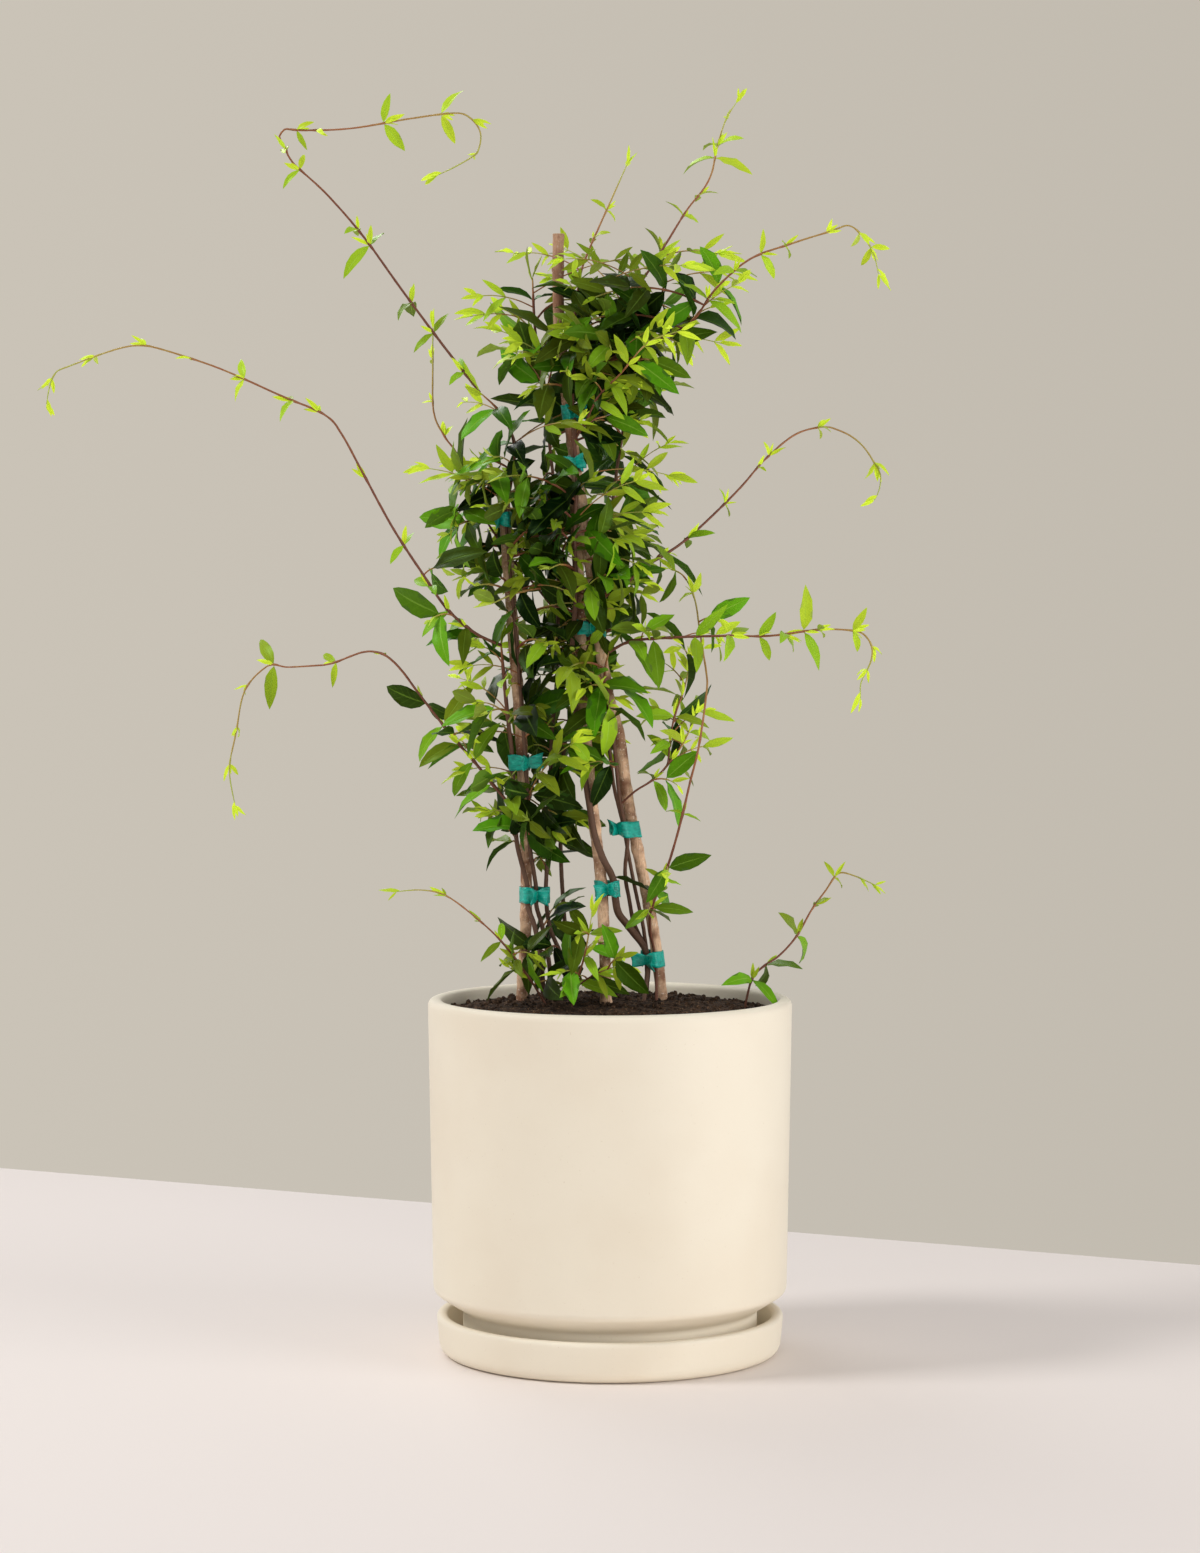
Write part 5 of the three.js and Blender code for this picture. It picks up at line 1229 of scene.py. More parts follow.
leaf_marks = {"points": np.zeros((0, 3))}
vine_leaves = [[] for name in VINES]
for owner, stems in enumerate(vine_stems):
    for number, stem in enumerate(stems):
        grow_leaves(stem, owner, seed_of(owner, number, 1), PAIR_SEED, solid_leaf_fits, SOLID_LOOK)
print("leaves of the solids", sum(len(leaves) for leaves in vine_leaves))

# %% [markdown]
# More leaves than the solids can carry
#
# The solids hold the main leaves, and a real bush has several times as many. More side shoots grow from the
# same stems here, with pairs of leaves all along them. Each reaches a share of the way to the bush's
# outline, and that share changes with the height, so that the bush gets its waist. They keep clear of
# stakes and ties, and a little apart from each other.

# %% Say where more side shoots stand: on which stem, between which places along it, and how many
FILLS = {
    "vine_left_outer": ((0, 0.36, 0.98, 5), (1, 0.0, 0.2, 3), (2, 0.03, 0.27, 5)),
    "vine_left_inner": ((0, 0.05, 0.13, 3), (0, 0.2, 0.9, 18)),
    "vine_left_back": ((0, 0.04, 0.16, 4), (0, 0.18, 0.93, 30), (1, 0.15, 0.5, 9)),
    "vine_middle": ((0, 0.45, 0.99, 31), (1, 0.0, 0.3, 4), (2, 0.0, 0.4, 4), (3, 0.03, 0.5, 9),
                    (4, 0.1, 0.7, 3)),
    "vine_right_arch": ((0, 0.66, 0.98, 6), (1, 0.0, 0.14, 2)),
    "vine_right_level": ((0, 0.64, 0.98, 6), (1, 0.02, 0.2, 1), (2, 0.3, 0.98, 2), (3, 0.1, 0.98, 2)),
    "vine_back": ((0, 0.3, 0.86, 26),),
    "shoot_low_left": ((0, 0.0, 0.4, 3),),
    "vine_loop": ((0, 0.18, 0.36, 3), (0, 0.8, 0.98, 2)),
    "shoot_low_front": ((0, 0.15, 0.9, 4), (1, 0.2, 0.8, 2)),
}
FILL_SEEDS = (9000, 9770, 1303, 31)
FILL_RISE = (0.05, 0.95)
FILL_SHARE = (0.5, 0.55)
FILL_TOP = 848
FILL_SHORTEST = 16
FILL_LONGEST = 92
FILL_TRIES = 7
FILL_STAKE_CLEAR = 6.5
FILL_STEM_CLEAR = 3
FILL_APART = 4.3
FILL_THICK = (1.0, 0.7)
FILL_LEAF = (39, 16)
PAIR_FIRST = (8, 5)
PAIR_APART = (13, 8)
PAIR_TURN = (80, 20)
TIP_SHARE = 0.5
FILL_LOOK = (((0.7, 0.7), (0.165, 0.05), (0.15, 0.6), (0.2, 0.35), (-0.6, 1.2)),
             -0.24, 1.6, (10.0, -16.0, 48.0))

# Heights, and the share of the bush's reach that shoots may take there
ROOM_HEIGHTS = (430, 480, 585, 620, 680, 710, 770, 830)
ROOM_SHARES = (0.85, 0.4, 0.4, 0.75, 0.75, 0.6, 0.8, 0.9)
ROOM_LEAST = 28


def room_round(point, turn):
    """How far a shoot may reach from a point, or a short way where the point lies outside the bush."""
    return max(bush_reach(point, turn) * np.interp(point[2], ROOM_HEIGHTS, ROOM_SHARES), ROOM_LEAST)


def fill_leaf_fits(leaf, owner):
    """Whether an added leaf stays clear of what holds the vines, and a little apart from other leaves."""
    return leaf_apart(leaf, FILL_APART, FILL_STAKE_CLEAR)


def grow_shoots(table, seeds, way, pairs_along, kind, thick, look):
    """Grows shoots where a table says, each along the first clear path that its way draws."""
    for owner, name in enumerate(VINES):
        added = 0
        for row, (number, first, last, count) in enumerate(table.get(name, ())):
            parent = vine_stems[owner][number]["path"]
            for at in range(count):
                seed = sum(factor * times for factor, times in zip(seeds, (1, owner, row, at)))
                draw = draws(seed)
                index = int((first + (last - first) * (at + next(draw)) / count) * (len(parent) - 1))
                if kind == "shoot" and near_tie(parent, index):
                    continue
                for attempt in range(FILL_TRIES):
                    path, size, top = way(parent[index], draw)
                    if path[2:, 2].max() > top or not clear_of_holders(path[2:], FILL_STAKE_CLEAR):
                        continue
                    if clear_of_vines(path, owner, FILL_STEM_CLEAR):
                        stem = new_stem(path, thick, pairs_along(size, draw), kind)
                        vine_stems[owner].append(stem)
                        grow_leaves(stem, owner, seed, 1, fill_leaf_fits, look)
                        added += 1
                        break
        print(name, "added", kind, added, "leaves", len(vine_leaves[owner]))


# %% Grow the added side shoots
def fill_way(start, draw):
    """The path, length and top of a side shoot inside the bush."""
    turn = 2 * math.pi * next(draw)
    size = min(max(room_round(start, turn) * drawn(FILL_SHARE, draw), FILL_SHORTEST), FILL_LONGEST)
    return shoot_path(start, turn, drawn(FILL_RISE, draw), size), size, FILL_TOP


def fill_pairs(size, draw):
    """Leaf pairs along an added shoot, turned square to each other and smaller towards its tip."""
    pairs = []
    run = drawn(PAIR_FIRST, draw)
    largest = drawn(FILL_LEAF, draw)
    turn = 360 * next(draw)
    while run < size:
        share = run / size
        pairs.append((share, largest * (1 - (1 - TIP_SHARE) * share ** 2), turn))
        turn += drawn(PAIR_TURN, draw)
        run += drawn(PAIR_APART, draw)
    return pairs


grow_shoots(FILLS, FILL_SEEDS, fill_way, fill_pairs, "shoot", FILL_THICK, FILL_LOOK)

# %% [markdown]
# A fringe of thin shoots
#
# What shows against the wall is the youngest growth: thread-thin shoots that stand out of the bush by a
# finger's width, with narrow yellow-green leaves near their ends. They make the outline airy instead of
# clipped.

# %% Grow the fringe
FRINGE = {
    "vine_left_outer": ((0, 0.4, 0.98, 3),),
    "vine_left_inner": ((0, 0.3, 0.98, 7), (0, 0.9, 0.99, 2)),
    "vine_left_back": ((0, 0.3, 0.99, 6), (0, 0.86, 0.99, 8)),
    "vine_middle": ((0, 0.6, 0.99, 6), (1, 0.05, 0.4, 3), (2, 0.1, 0.6, 3), (3, 0.05, 0.45, 4)),
    "vine_right_arch": ((0, 0.7, 0.98, 2),),
    "vine_right_level": ((1, 0.05, 0.3, 1), (2, 0.3, 0.98, 2), (3, 0.1, 0.98, 2)),
    "vine_back": ((0, 0.4, 0.99, 6),),
}
FRINGE_SEEDS = (52001, 8111, 1201, 37)
FRINGE_TOP = 890
FRINGE_PAST = (6, 26)
FRINGE_RISE = (0.25, 0.8)
FRINGE_FROM = 0.5
FRINGE_APART = (12, 9)
FRINGE_LEAF = (17, 14)
FRINGE_SWING = (-0.8, 1.6)
FRINGE_THICK = (0.7, 0.4)
FRINGE_ARCH = 0.16
FRINGE_LOOK = (((0.45, 0.5), (0.105, 0.04), (0.0, 0.7), (0.2, 0.35), (-0.6, 1.2)),
               -0.05, 1.4, (10.0, -30.0, 30.0))


def fringe_way(start, draw):
    """The path, length and top of a thin shoot that leaves the bush to the left or to the right."""
    turn = math.pi * (next(draw) < 0.5) + drawn(FRINGE_SWING, draw)
    size = room_round(start, turn) + drawn(FRINGE_PAST, draw)
    return shoot_path(start, turn, drawn(FRINGE_RISE, draw), size, FRINGE_ARCH), size, FRINGE_TOP


def fringe_pairs(size, draw):
    """Leaf pairs along the outer part of a thin shoot."""
    pairs = []
    run = size * FRINGE_FROM
    turn = 360 * next(draw)
    while run < size:
        pairs.append((run / size, drawn(FRINGE_LEAF, draw), turn))
        run += drawn(FRINGE_APART, draw)
        turn += drawn(PAIR_TURN, draw)
    return pairs


grow_shoots(FRINGE, FRINGE_SEEDS, fringe_way, fringe_pairs, "fringe", FRINGE_THICK, FRINGE_LOOK)

# %% [markdown]
# New growth
#
# Every stem ends in a tuft of narrow yellow-green leaves that still point forwards, and tiny new leaves
# stand at the nodes of the runners. They show first against the wall, so they make much of the plant's
# look.

# %% Grow a tuft at each tip
TUFT_SEEDS = (70001, 4001, 17)
TUFT_LEAVES = (2, 2)
TUFT_LEAF = (10, 10)
CANE_TUFT = 1.5
NODE_LEAVES = (1, 3)
NODE_LEAF = (9, 9)
TUFT_TURN = 6
NODE_TURN = 6.3
TUFT_LOOK = (((0.2, 0.55), (0.12, 0.05), (-0.2, 0.7), (0.3, 0.4), (-0.6, 1.2)),
             0.05, 1.0, (0.0, -20.0, 30.0))


def add_new_leaf(stem, owner, index, size, turn, draw):
    """Adds one leaf of new growth to a stem."""
    leaf = next(leaf_at(stem, index, size, turn, draw, TUFT_LOOK))
    leaf["tuft"] = True
    vine_leaves[owner].append(leaf)


for owner, stems in enumerate(vine_stems):
    for number, stem in enumerate(stems):
        draw = draws(sum(factor * times for factor, times in zip(TUFT_SEEDS, (1, owner, number))))
        last = len(stem["path"]) - 1
        for at in range(int(drawn(TUFT_LEAVES, draw))):
            size = drawn(TUFT_LEAF, draw) * (CANE_TUFT if stem["kind"] == "cane" else 1)
            add_new_leaf(stem, owner, last - at % 2, size, GOLDEN_TURN * at + TUFT_TURN * next(draw), draw)
        for place, size, turn in stem["pairs"] if stem["kind"] == "runner" else ():
            for at in range(int(drawn(NODE_LEAVES, draw))):
                size = drawn(NODE_LEAF, draw)
                add_new_leaf(stem, owner, index_at(stem, place), size, NODE_TURN * next(draw), draw)
print("leaves and tufts", sum(len(leaves) for leaves in vine_leaves))

# %% [markdown]
# Geometry Nodes along a path
#
# Stakes and stems are tubes along paths, and only their radii, sides and finish differ, so one node tree
# makes them all. Its source is a mesh of bare points joined by edges, with the radius on each point. The
# tree turns the edges into curves, smooths them, sweeps a circle along them, closes the ends and roughens
# the surface by noise.

# %% Build the tree that sweeps tubes
sweep, wires, close = geometry_tree(
    "sweep_tubes", sides="Int", finer="Int", lumps="Float", depth="Float", material="Material")
line = outlet(sweep, "GeometryNodeMeshToCurve", Mesh=wires["Geometry"])
line = outlet(sweep, "GeometryNodeCurveSplineType", 0, {"spline_type": "CATMULL_ROM"}, Curve=line)
line = outlet(sweep, "GeometryNodeSetSplineResolution", Geometry=line, Resolution=wires["finer"])
ring = outlet(sweep, "GeometryNodeCurvePrimitiveCircle", Resolution=wires["sides"], Radius=1.0)
swept = outlet(sweep, "GeometryNodeCurveToMesh", Curve=line, Profile_Curve=ring,
               Scale=attribute(sweep, "thick"), Fill_Caps=True)
here = outlet(sweep, "GeometryNodeInputPosition")
outwards = outlet(sweep, "GeometryNodeInputNormal")
lumpy = outlet(sweep, "ShaderNodeTexNoise", Vector=here, Scale=wires["lumps"], Detail=2.0)
lift = outwards.vector("SCALE", (lumpy - 0.5) * wires["depth"])
close(outlet(sweep, "GeometryNodeSetPosition", Geometry=swept, Offset=lift))


def strung(name, paths, **attributes):
    """A source mesh for the sweep: points in millimetres, each path an unbroken line of edges."""
    edges = []
    start = 0
    for path in paths:
        edges += [(start + at, start + at + 1) for at in range(len(path) - 1)]
        start += len(path)
    values = {title: np.concatenate(parts) for title, parts in attributes.items()}
    return point_mesh(name, np.concatenate(paths) * MM, edges, **values)


def rooted(path, depth):
    """A path with a straight run below it, down into the soil."""
    root = np.linspace(path[0] - UP * depth, path[0], depth // PATH_STEP, endpoint=False)
    return np.concatenate([root, path])


# %% [markdown]
# Stakes
#
# The stakes are cut shoots of a shrub with the bark left on: pinkish tan, with paler specks, fine cracks
# along the stem and a swelling every few centimetres where a bud sat. Their bark pattern is stretched
# upwards, because bark cells are, and the bark is darker towards the top. The cut end is bare wood, and the
# mask for it rides on the path's last point as an attribute.

# %% Mix the bark
BARK_DARK = colour(146, 104, 80)
BARK_MID = colour(240, 200, 164)
BARK_PALE = colour(250, 228, 206)
CUT_WOOD = colour(214, 190, 150)
DARK_FROM = 0.58
DARK_TO = 0.86
GRAIN_STRETCH = (1.0, 1.0, 0.16)

bark, tree, shader, place = surface("stake_bark", 0.8)
tall = place.vector("MULTIPLY", GRAIN_STRETCH)
streaks = noise(tall, 900.0, 3.0, 0.6)
blotches = noise(place, 60.0, 3.0)
corky = noise(place, 520.0, 2.0).between(0.6, 0.68)
wood = mixed(blotches.between(0.35, 0.65), BARK_MID, BARK_DARK)
wood = mixed(streaks.between(0.45, 0.75) * 0.6, wood, BARK_DARK)
wood = mixed(corky * 0.75, wood, BARK_PALE)
wood = mixed(place.part(2).between(DARK_FROM, DARK_TO) * 0.6, wood, BARK_DARK)
wood = mixed(painted(tree, "cut").between(0.9, 0.99), wood, CUT_WOOD)
feed(shader, Base_Color=wood)
bump(shader, streaks + corky * 0.4 + blotches * 0.5, 0.0009, 0.7)
feed(shader, Specular_IOR_Level=0.25)

# %% Sweep the stakes
STAKE_DEPTH = 120
STAKE_SIDES = 24
STAKE_LUMPS = 150.0
STAKE_ROUGH = 0.0011
KNOT_APART = 47
KNOT_WIDE = 3.6
KNOT_RISE = 0.13
KNOT_SHIFT = 19
BETWEEN_KNOTS = 0.04
CUT_ANGLE = math.radians(50)

for number, (name, path) in enumerate(stake_paths.items()):
    whole = rooted(path, STAKE_DEPTH)
    run = np.concatenate([[0], np.cumsum(np.linalg.norm(np.diff(whole, axis=0), axis=1))])
    off_knot = (run + KNOT_SHIFT * number + KNOT_APART / 2) % KNOT_APART - KNOT_APART / 2
    swell = 1 + KNOT_RISE * np.exp(-((off_knot / KNOT_WIDE) ** 2)) - BETWEEN_KNOTS
    cut = np.zeros(len(whole))
    cut[-1] = 1
    source = strung("stake_path", [whole], thick=[STAKE_RADIUS * MM * swell], cut=[cut])
    stake = grown(f"bark_stake_{name}", source, sweep, sides=STAKE_SIDES, finer=3,
                  lumps=STAKE_LUMPS, depth=STAKE_ROUGH, material=bark)
    stake.data.set_sharp_from_angle(angle=CUT_ANGLE)
    finished(stake, [f"stake_{name}"])

# %% [markdown]
# Stems
#
# A jasmine cane is woody and dark at the soil, its year-old runners are wiry and reddish brown, and their
# growing tips are orange and then yellow-green. One attribute carries that age, from 1 at the woody foot to
# 0 at the tip, and a colour ramp reads it. Each pair of leaves sits on a small swelling of the stem.

# %% Mix the stem's colours by age
STEM_STOPS = (
    (0.0, colour(172, 186, 78)), (0.14, colour(176, 150, 74)), (0.3, colour(158, 98, 56)),
    (0.5, colour(118, 62, 40)), (0.75, colour(104, 68, 48)), (1.0, colour(98, 70, 52)),
)
STEM_GRAIN = colour(48, 36, 30)

rind, tree, shader, place = surface("vine_stem", 0.55)
aged = painted(tree, "age")
varied = aged + (noise(place, 90.0) - 0.5) * 0.25
ramp = outlet(tree, "ShaderNodeValToRGB", 0, {"stops": STEM_STOPS}, Fac=varied)
grain = noise(place.vector("MULTIPLY", (1.0, 1.0, 0.3)), 1100.0, 3.0, 0.6)
rubbed = mixed(grain.between(0.5, 0.8) * aged * 0.7, ramp, STEM_GRAIN)
feed(shader, Base_Color=rubbed)
feed(shader, Roughness=aged * 0.35 + 0.4)
bump(shader, grain, 0.0006, 0.6)

# %% Give the stems their radii and their age
ROOT_DEPTH = 24
STEM_SIDES = 8
STEM_LUMPS = 260.0
STEM_ROUGH = 0.0005
NODE_SWELL = 1.35
STEM_SLIM = 0.86
TIP_RUN = 30
TIP_THICK = 0.35
TIP_TAPER = 0.7
AGE_FALL = 1.5
TIP_AGE = 0.2
AGES = {"cane": (1.0, 0.6), "runner": (0.62, 0.0), "shoot": (0.5, 0.05), "fringe": (0.3, 0.0)}


def stem_source(stems):
    """The source mesh of a vine's stems, with the radius and the age on each point."""
    paths, thicks, ages = [], [], []
    for number, stem in enumerate(stems):
        path, given = stem["path"], stem["thick"]
        count = len(path)
        share = np.linspace(0, 1, count)
        thick = np.interp(share * (len(given) - 1), range(len(given)), given) * STEM_SLIM
        for place, size, turn in stem["pairs"]:
            thick[index_at(stem, place)] *= NODE_SWELL
        to_tip = np.clip((1 - share) * (count - 1) * PATH_STEP / TIP_RUN, 0, 1)
        thick = TIP_THICK + (thick - TIP_THICK) * to_tip ** TIP_TAPER
        oldest, youngest = AGES[stem["kind"]]
        age = (oldest + (youngest - oldest) * share ** AGE_FALL) * (TIP_AGE + (1 - TIP_AGE) * to_tip)
        if number == 0:
            path = rooted(path, ROOT_DEPTH)
            thick, age = (np.pad(values, (len(path) - count, 0), "edge") for values in (thick, age))
        paths.append(path)
        thicks.append(thick * MM)
        ages.append(age)
    return strung("stem_paths", paths, thick=thicks, age=ages)


# %% Sweep the stems of each vine
for name, stems in zip(VINES, vine_stems):
    source = stem_source(stems)
    swept = grown(f"stems_{name.split('_', 1)[1]}", source, sweep, sides=STEM_SIDES, finer=2,
                  lumps=STEM_LUMPS, depth=STEM_ROUGH, material=rind)
    finished(swept, [name])

# %% [markdown]
# Leaves
#
# A jasmine leaf is lance-shaped, folded along its midrib, arched, and drawn out into a long tip. It could
# be modelled once and copied, but then all would share one curve. So a geometry tree places a flat closed
# card on each leaf's point, and a formula bends that card by the leaf's own numbers: length, width, droop,
# fold and twist.

# %% Make the flat card, with its place along, across and through the leaf on each point
CARD_PLACES = (0.05, 0.13, 0.28, 0.47, 0.67, 0.86)
CARD_LOOP = ((-1, 0), (-0.55, 1), (0, 1), (0.55, 1), (1, 0), (0.55, -1), (0, -1), (-0.55, -1))


def leaf_card():
    """A closed card of two layers, joined at its edges, its stalk and its tip."""
    loop = len(CARD_LOOP)
    points = [(0, 0, 0)]
    for place in CARD_PLACES:
        points += [(place, across, layer) for across, layer in CARD_LOOP]
    points.append((1, 0, 0))
    tip = len(points) - 1
    faces = []
    for at in range(loop):
        beside = (at + 1) % loop
        faces.append((0, 1 + beside, 1 + at))
        faces.append((tip, tip - loop + at, tip - loop + beside))
        for ring in range(len(CARD_PLACES) - 1):
            a = 1 + ring * loop
            faces.append((a + at, a + beside, a + loop + beside, a + loop + at))
    mesh = bpy.data.meshes.new("leaf_card")
    mesh.from_pydata(points, [], faces)
    for axis, title in enumerate(("along", "across", "layer")):
        values = np.array(points, dtype=np.float32)[:, axis]
        mesh.attributes.new(title, "FLOAT", "POINT").data.foreach_set("value", values)
    return mesh


card = in_scene("leaf_card", leaf_card())
print("card faces", len(card.data.polygons))

# %% Build the tree that bends a card into each leaf
BLADE_HALF_THICK = 0.0002
STALK_HALF_THICK = 0.0005
BLADE_POWER = 0.74
BLADE_FULL = 0.82
WAVES_LONG = 19
WAVES_SHIFT = 900
WAVE_HIGH = 0.14
FOLD_STEEP = 1.3
FOLD_EASE = 0.5
STALK_FROM = 0.03
STALK_TO = 0.16

leafing, wires, close = geometry_tree("bend_leaves", card="Object", material="Material")
blank = outlet(leafing, "GeometryNodeObjectInfo", "Geometry", Object=wires["card"])
placed = outlet(leafing, "GeometryNodeInstanceOnPoints", Points=wires["Geometry"], Instance=blank)
cards = outlet(leafing, "GeometryNodeRealizeInstances", Geometry=placed)
along, across, layer = (attribute(leafing, title) for title in ("along", "across", "layer"))
numbers = ("size", "half", "droop", "fold", "twist")
size, half, droop, fold, twist = (attribute(leafing, title) for title in numbers)
base, ahead, face = (attribute(leafing, title, "FLOAT_VECTOR") for title in ("base", "ahead", "face"))
bend = droop * along
reach = bend.maths("SINE") / droop * size
drop = (1 - bend.maths("COSINE")) / droop * size
middle = base.vector("ADD", ahead.vector("SCALE", reach)).vector("SUBTRACT", face.vector("SCALE", drop))
upwards = face.vector("SCALE", bend.maths("COSINE")).vector("ADD", ahead.vector("SCALE", bend.maths("SINE")))
sideways = ahead.vector("CROSS_PRODUCT", face)
turn = twist * along
turned_side = sideways.vector("SCALE", turn.maths("COSINE")).vector(
    "ADD", upwards.vector("SCALE", turn.maths("SINE")))
turned_face = upwards.vector("SCALE", turn.maths("COSINE")).vector(
    "SUBTRACT", sideways.vector("SCALE", turn.maths("SINE")))
blade = ((along - STALK_SHARE) / (1 - STALK_SHARE)).maths("MAXIMUM", 0)
swollen = ((blade ** BLADE_POWER) * math.pi).maths("SINE").maths("MAXIMUM", 0)
width = (swollen ** BLADE_FULL).maths("MAXIMUM", STALK_SHARE * (1 - along)) * half
edge = across.size()
wave = (along * WAVES_LONG + size * WAVES_SHIFT).maths("SINE") * edge * edge * WAVE_HIGH
lift = width * (fold * edge * (FOLD_STEEP - FOLD_EASE * edge) + wave)
stalk = 1 - along.between(STALK_FROM, STALK_TO)
thick = layer * (stalk * (STALK_HALF_THICK - BLADE_HALF_THICK) + BLADE_HALF_THICK)
where = middle.vector("ADD", turned_side.vector("SCALE", across * width)).vector(
    "ADD", turned_face.vector("SCALE", lift + thick))
close(outlet(leafing, "GeometryNodeSetPosition", Geometry=cards, Position=where))
print("leaf tree nodes", len(leafing.nodes))

# %% [markdown]
# The leaf's finish
#
# A mature leaf is deep green and glossy with a pale midrib, faint side veins that arc towards the tip and a
# paler underside. A young one is yellow-green all over. The card's own numbers say where on the leaf a
# point is, so the veins follow each leaf however it bends. The attribute young makes every leaf its own
# green, and a second one makes it lighter or darker: older leaves deep in the bush are darker, and it also
# paints shade on leaves deep in the bush and low down. A faint glow in young leaves stands for the light
# that shines through them, and the sheen is tinted green.

# %% Mix the leaf's greens
# The darkest green is painted shade for leaves deep in the bush and low down, and also the dark of old
# leaves and of their mottling.
LEAF_DARK_AND_SHADED = colour(4, 20, 3)
LEAF_MID = colour(100, 174, 22)
LEAF_YOUNG = colour(222, 240, 62)
LEAF_BACK = colour(70, 118, 30)
LEAF_SHADED_BACK = colour(34, 62, 18)
LEAF_BACK_YOUNG = colour(186, 206, 90)
VEIN_PALE = colour(158, 200, 76)
NO_GLOW = colour(0, 0, 0)
SHEEN_GREEN = colour(150, 220, 110)
THIN_GLOW = 0.14

foliage, tree, shader, place = surface("jasmine_leaf", 0.36)
young, tint = painted(tree, "young"), painted(tree, "tint")
along, across, layer = painted(tree, "along"), painted(tree, "across"), painted(tree, "layer")
edge = across.size()
top = layer.between(-0.12, 0.12)
midrib = (1 - edge.between(0.02, 0.11)) * (1 - along.between(0.6, 1.0) * 0.6)
arcs = ((along - edge * 0.16) * 38).maths("SINE").between(0.8, 1.0) * (1 - edge.between(0.6, 0.95))
# Leaves deep in the bush are darker, partly for their age and partly by painted shade, and leaves low down
# get painted shade; their pale veins fade with it.
upper = mixed(tint, LEAF_DARK_AND_SHADED, LEAF_MID)
upper = mixed(young, upper, LEAF_YOUNG)
upper = mixed(noise(place, 70.0) * 0.4, upper, mixed(young, LEAF_DARK_AND_SHADED, LEAF_MID))
upper = mixed((midrib * 0.5 + arcs * 0.06) * (tint * 0.7 + 0.3), upper, VEIN_PALE)
lower = mixed(young, mixed(tint, LEAF_SHADED_BACK, LEAF_BACK), LEAF_BACK_YOUNG)
lower = mixed(midrib * 0.4 + arcs * 0.07, lower, VEIN_PALE)
feed(shader, Base_Color=mixed(top, lower, upper))
feed(shader, Roughness=0.58 - top * 0.28 + noise(place, 160.0) * 0.08)
bump(shader, midrib * -1 + noise(place, 120.0) * 0.4, 0.0004, 0.5)
feed(shader, Specular_IOR_Level=0.24)
feed(shader, Specular_Tint=SHEEN_GREEN)
feed(shader, Emission_Color=mixed(young, NO_GLOW, LEAF_YOUNG))
feed(shader, Emission_Strength=THIN_GLOW)

# %% Set the leaves of each vine
TWIST = 0.9
LEAST_DROOP = 0.02
LIGHT_SHARE = 0.75
RUNNER_SLIM = 0.8
FREE_LIGHT = unit(np.array([0.1, -0.85, 0.5]))
RIM_ANGLE = math.radians(60)
TIP_AT = 0.6
FRONT_SHARE = 0.6
NEW_SIZE = 12
GROWN_MORE = 16
SHADE_FROM = 580
SHADE_RUN = 220

# How young each kind of leaf is, how light, and how much painted shade growing low takes from both
RUNNER_YOUNG = (0.12, 0.7)
SHOOT_YOUNG = (0.5, 3)
FRINGE_YOUNG = (0.5, 0.35)
SMALL_YOUNG = 0.45
TUFT_YOUNG = 0.6
YOUNG_SPREAD = (0.6, 1.1)
OUTER_AGE_AND_SHADE = (0.9, 1.8)
TINT_SPREAD = 0.65
TINT_POWER = 1.9
LOW_SHADE_ON_YOUNG = 0.5
LOW_SHADE = 0.4


def turned_to_light(leaf):
    """The face of a leaf, rolled about its midrib towards the light where it stands free of the bush."""
    if leaf["kind"] not in ("runner", "fringe"):
        return leaf["face"]
    wanted = leaf["face"] * (1 - LIGHT_SHARE) + FREE_LIGHT * LIGHT_SHARE
    return unit(wanted - leaf["ahead"] * wanted.dot(leaf["ahead"]))


def bush_depth(point):
    """How deep a point lies in the bush: 1 at its middle and 0 at its outline."""
    rows = np.array(BUSH, dtype=float).T
    left, right, front, back = (np.interp(point[2], rows[0], row) for row in rows[1:])
    x = (2 * point[0] - left - right) / (right - left)
    y = (2 * point[1] - front - back) / (back - front)
    return min(max(1 - math.hypot(x, y * FRONT_SHARE), 0), 1)


def greens(leaf, draw):
    """How young a leaf is, and how light: light at tips and outside, dark deep inside and low down. Older
    leaves and painted shade darken it deep inside, and painted shade alone darkens it low down.
    """
    tip = leaf["base"] + leaf["ahead"] * leaf["size"] * TIP_AT
    outer = 1 - bush_depth(tip)
    small = 1 - min(max((leaf["size"] - NEW_SIZE) / GROWN_MORE, 0), 1)
    low = min(max((SHADE_FROM - tip[2]) / SHADE_RUN, 0), 1)
    place = leaf["place"]
    by_kind = {
        "cane": 0.0,
        "runner": RUNNER_YOUNG[0] + RUNNER_YOUNG[1] * place,
        "shoot": SHOOT_YOUNG[0] * place ** SHOOT_YOUNG[1] * outer,
        "fringe": (FRINGE_YOUNG[0] + FRINGE_YOUNG[1] * place) * outer,
    }
    young = by_kind[leaf["kind"]] + SMALL_YOUNG * small * outer
    young += TUFT_YOUNG * outer ** 2 if leaf["tuft"] else 0
    # Painted shade: the green darkens deep inside the bush, where leaves are also older, and low down, where
    # young leaves also lose some of their yellow.
    tint = OUTER_AGE_AND_SHADE[0] * outer ** OUTER_AGE_AND_SHADE[1] + draw.uniform(-TINT_SPREAD, TINT_SPREAD)
    young *= (1 - LOW_SHADE_ON_YOUNG * low) * draw.uniform(*YOUNG_SPREAD)
    return min(young, 1), min(max(tint - LOW_SHADE * low, 0), 1) ** TINT_POWER


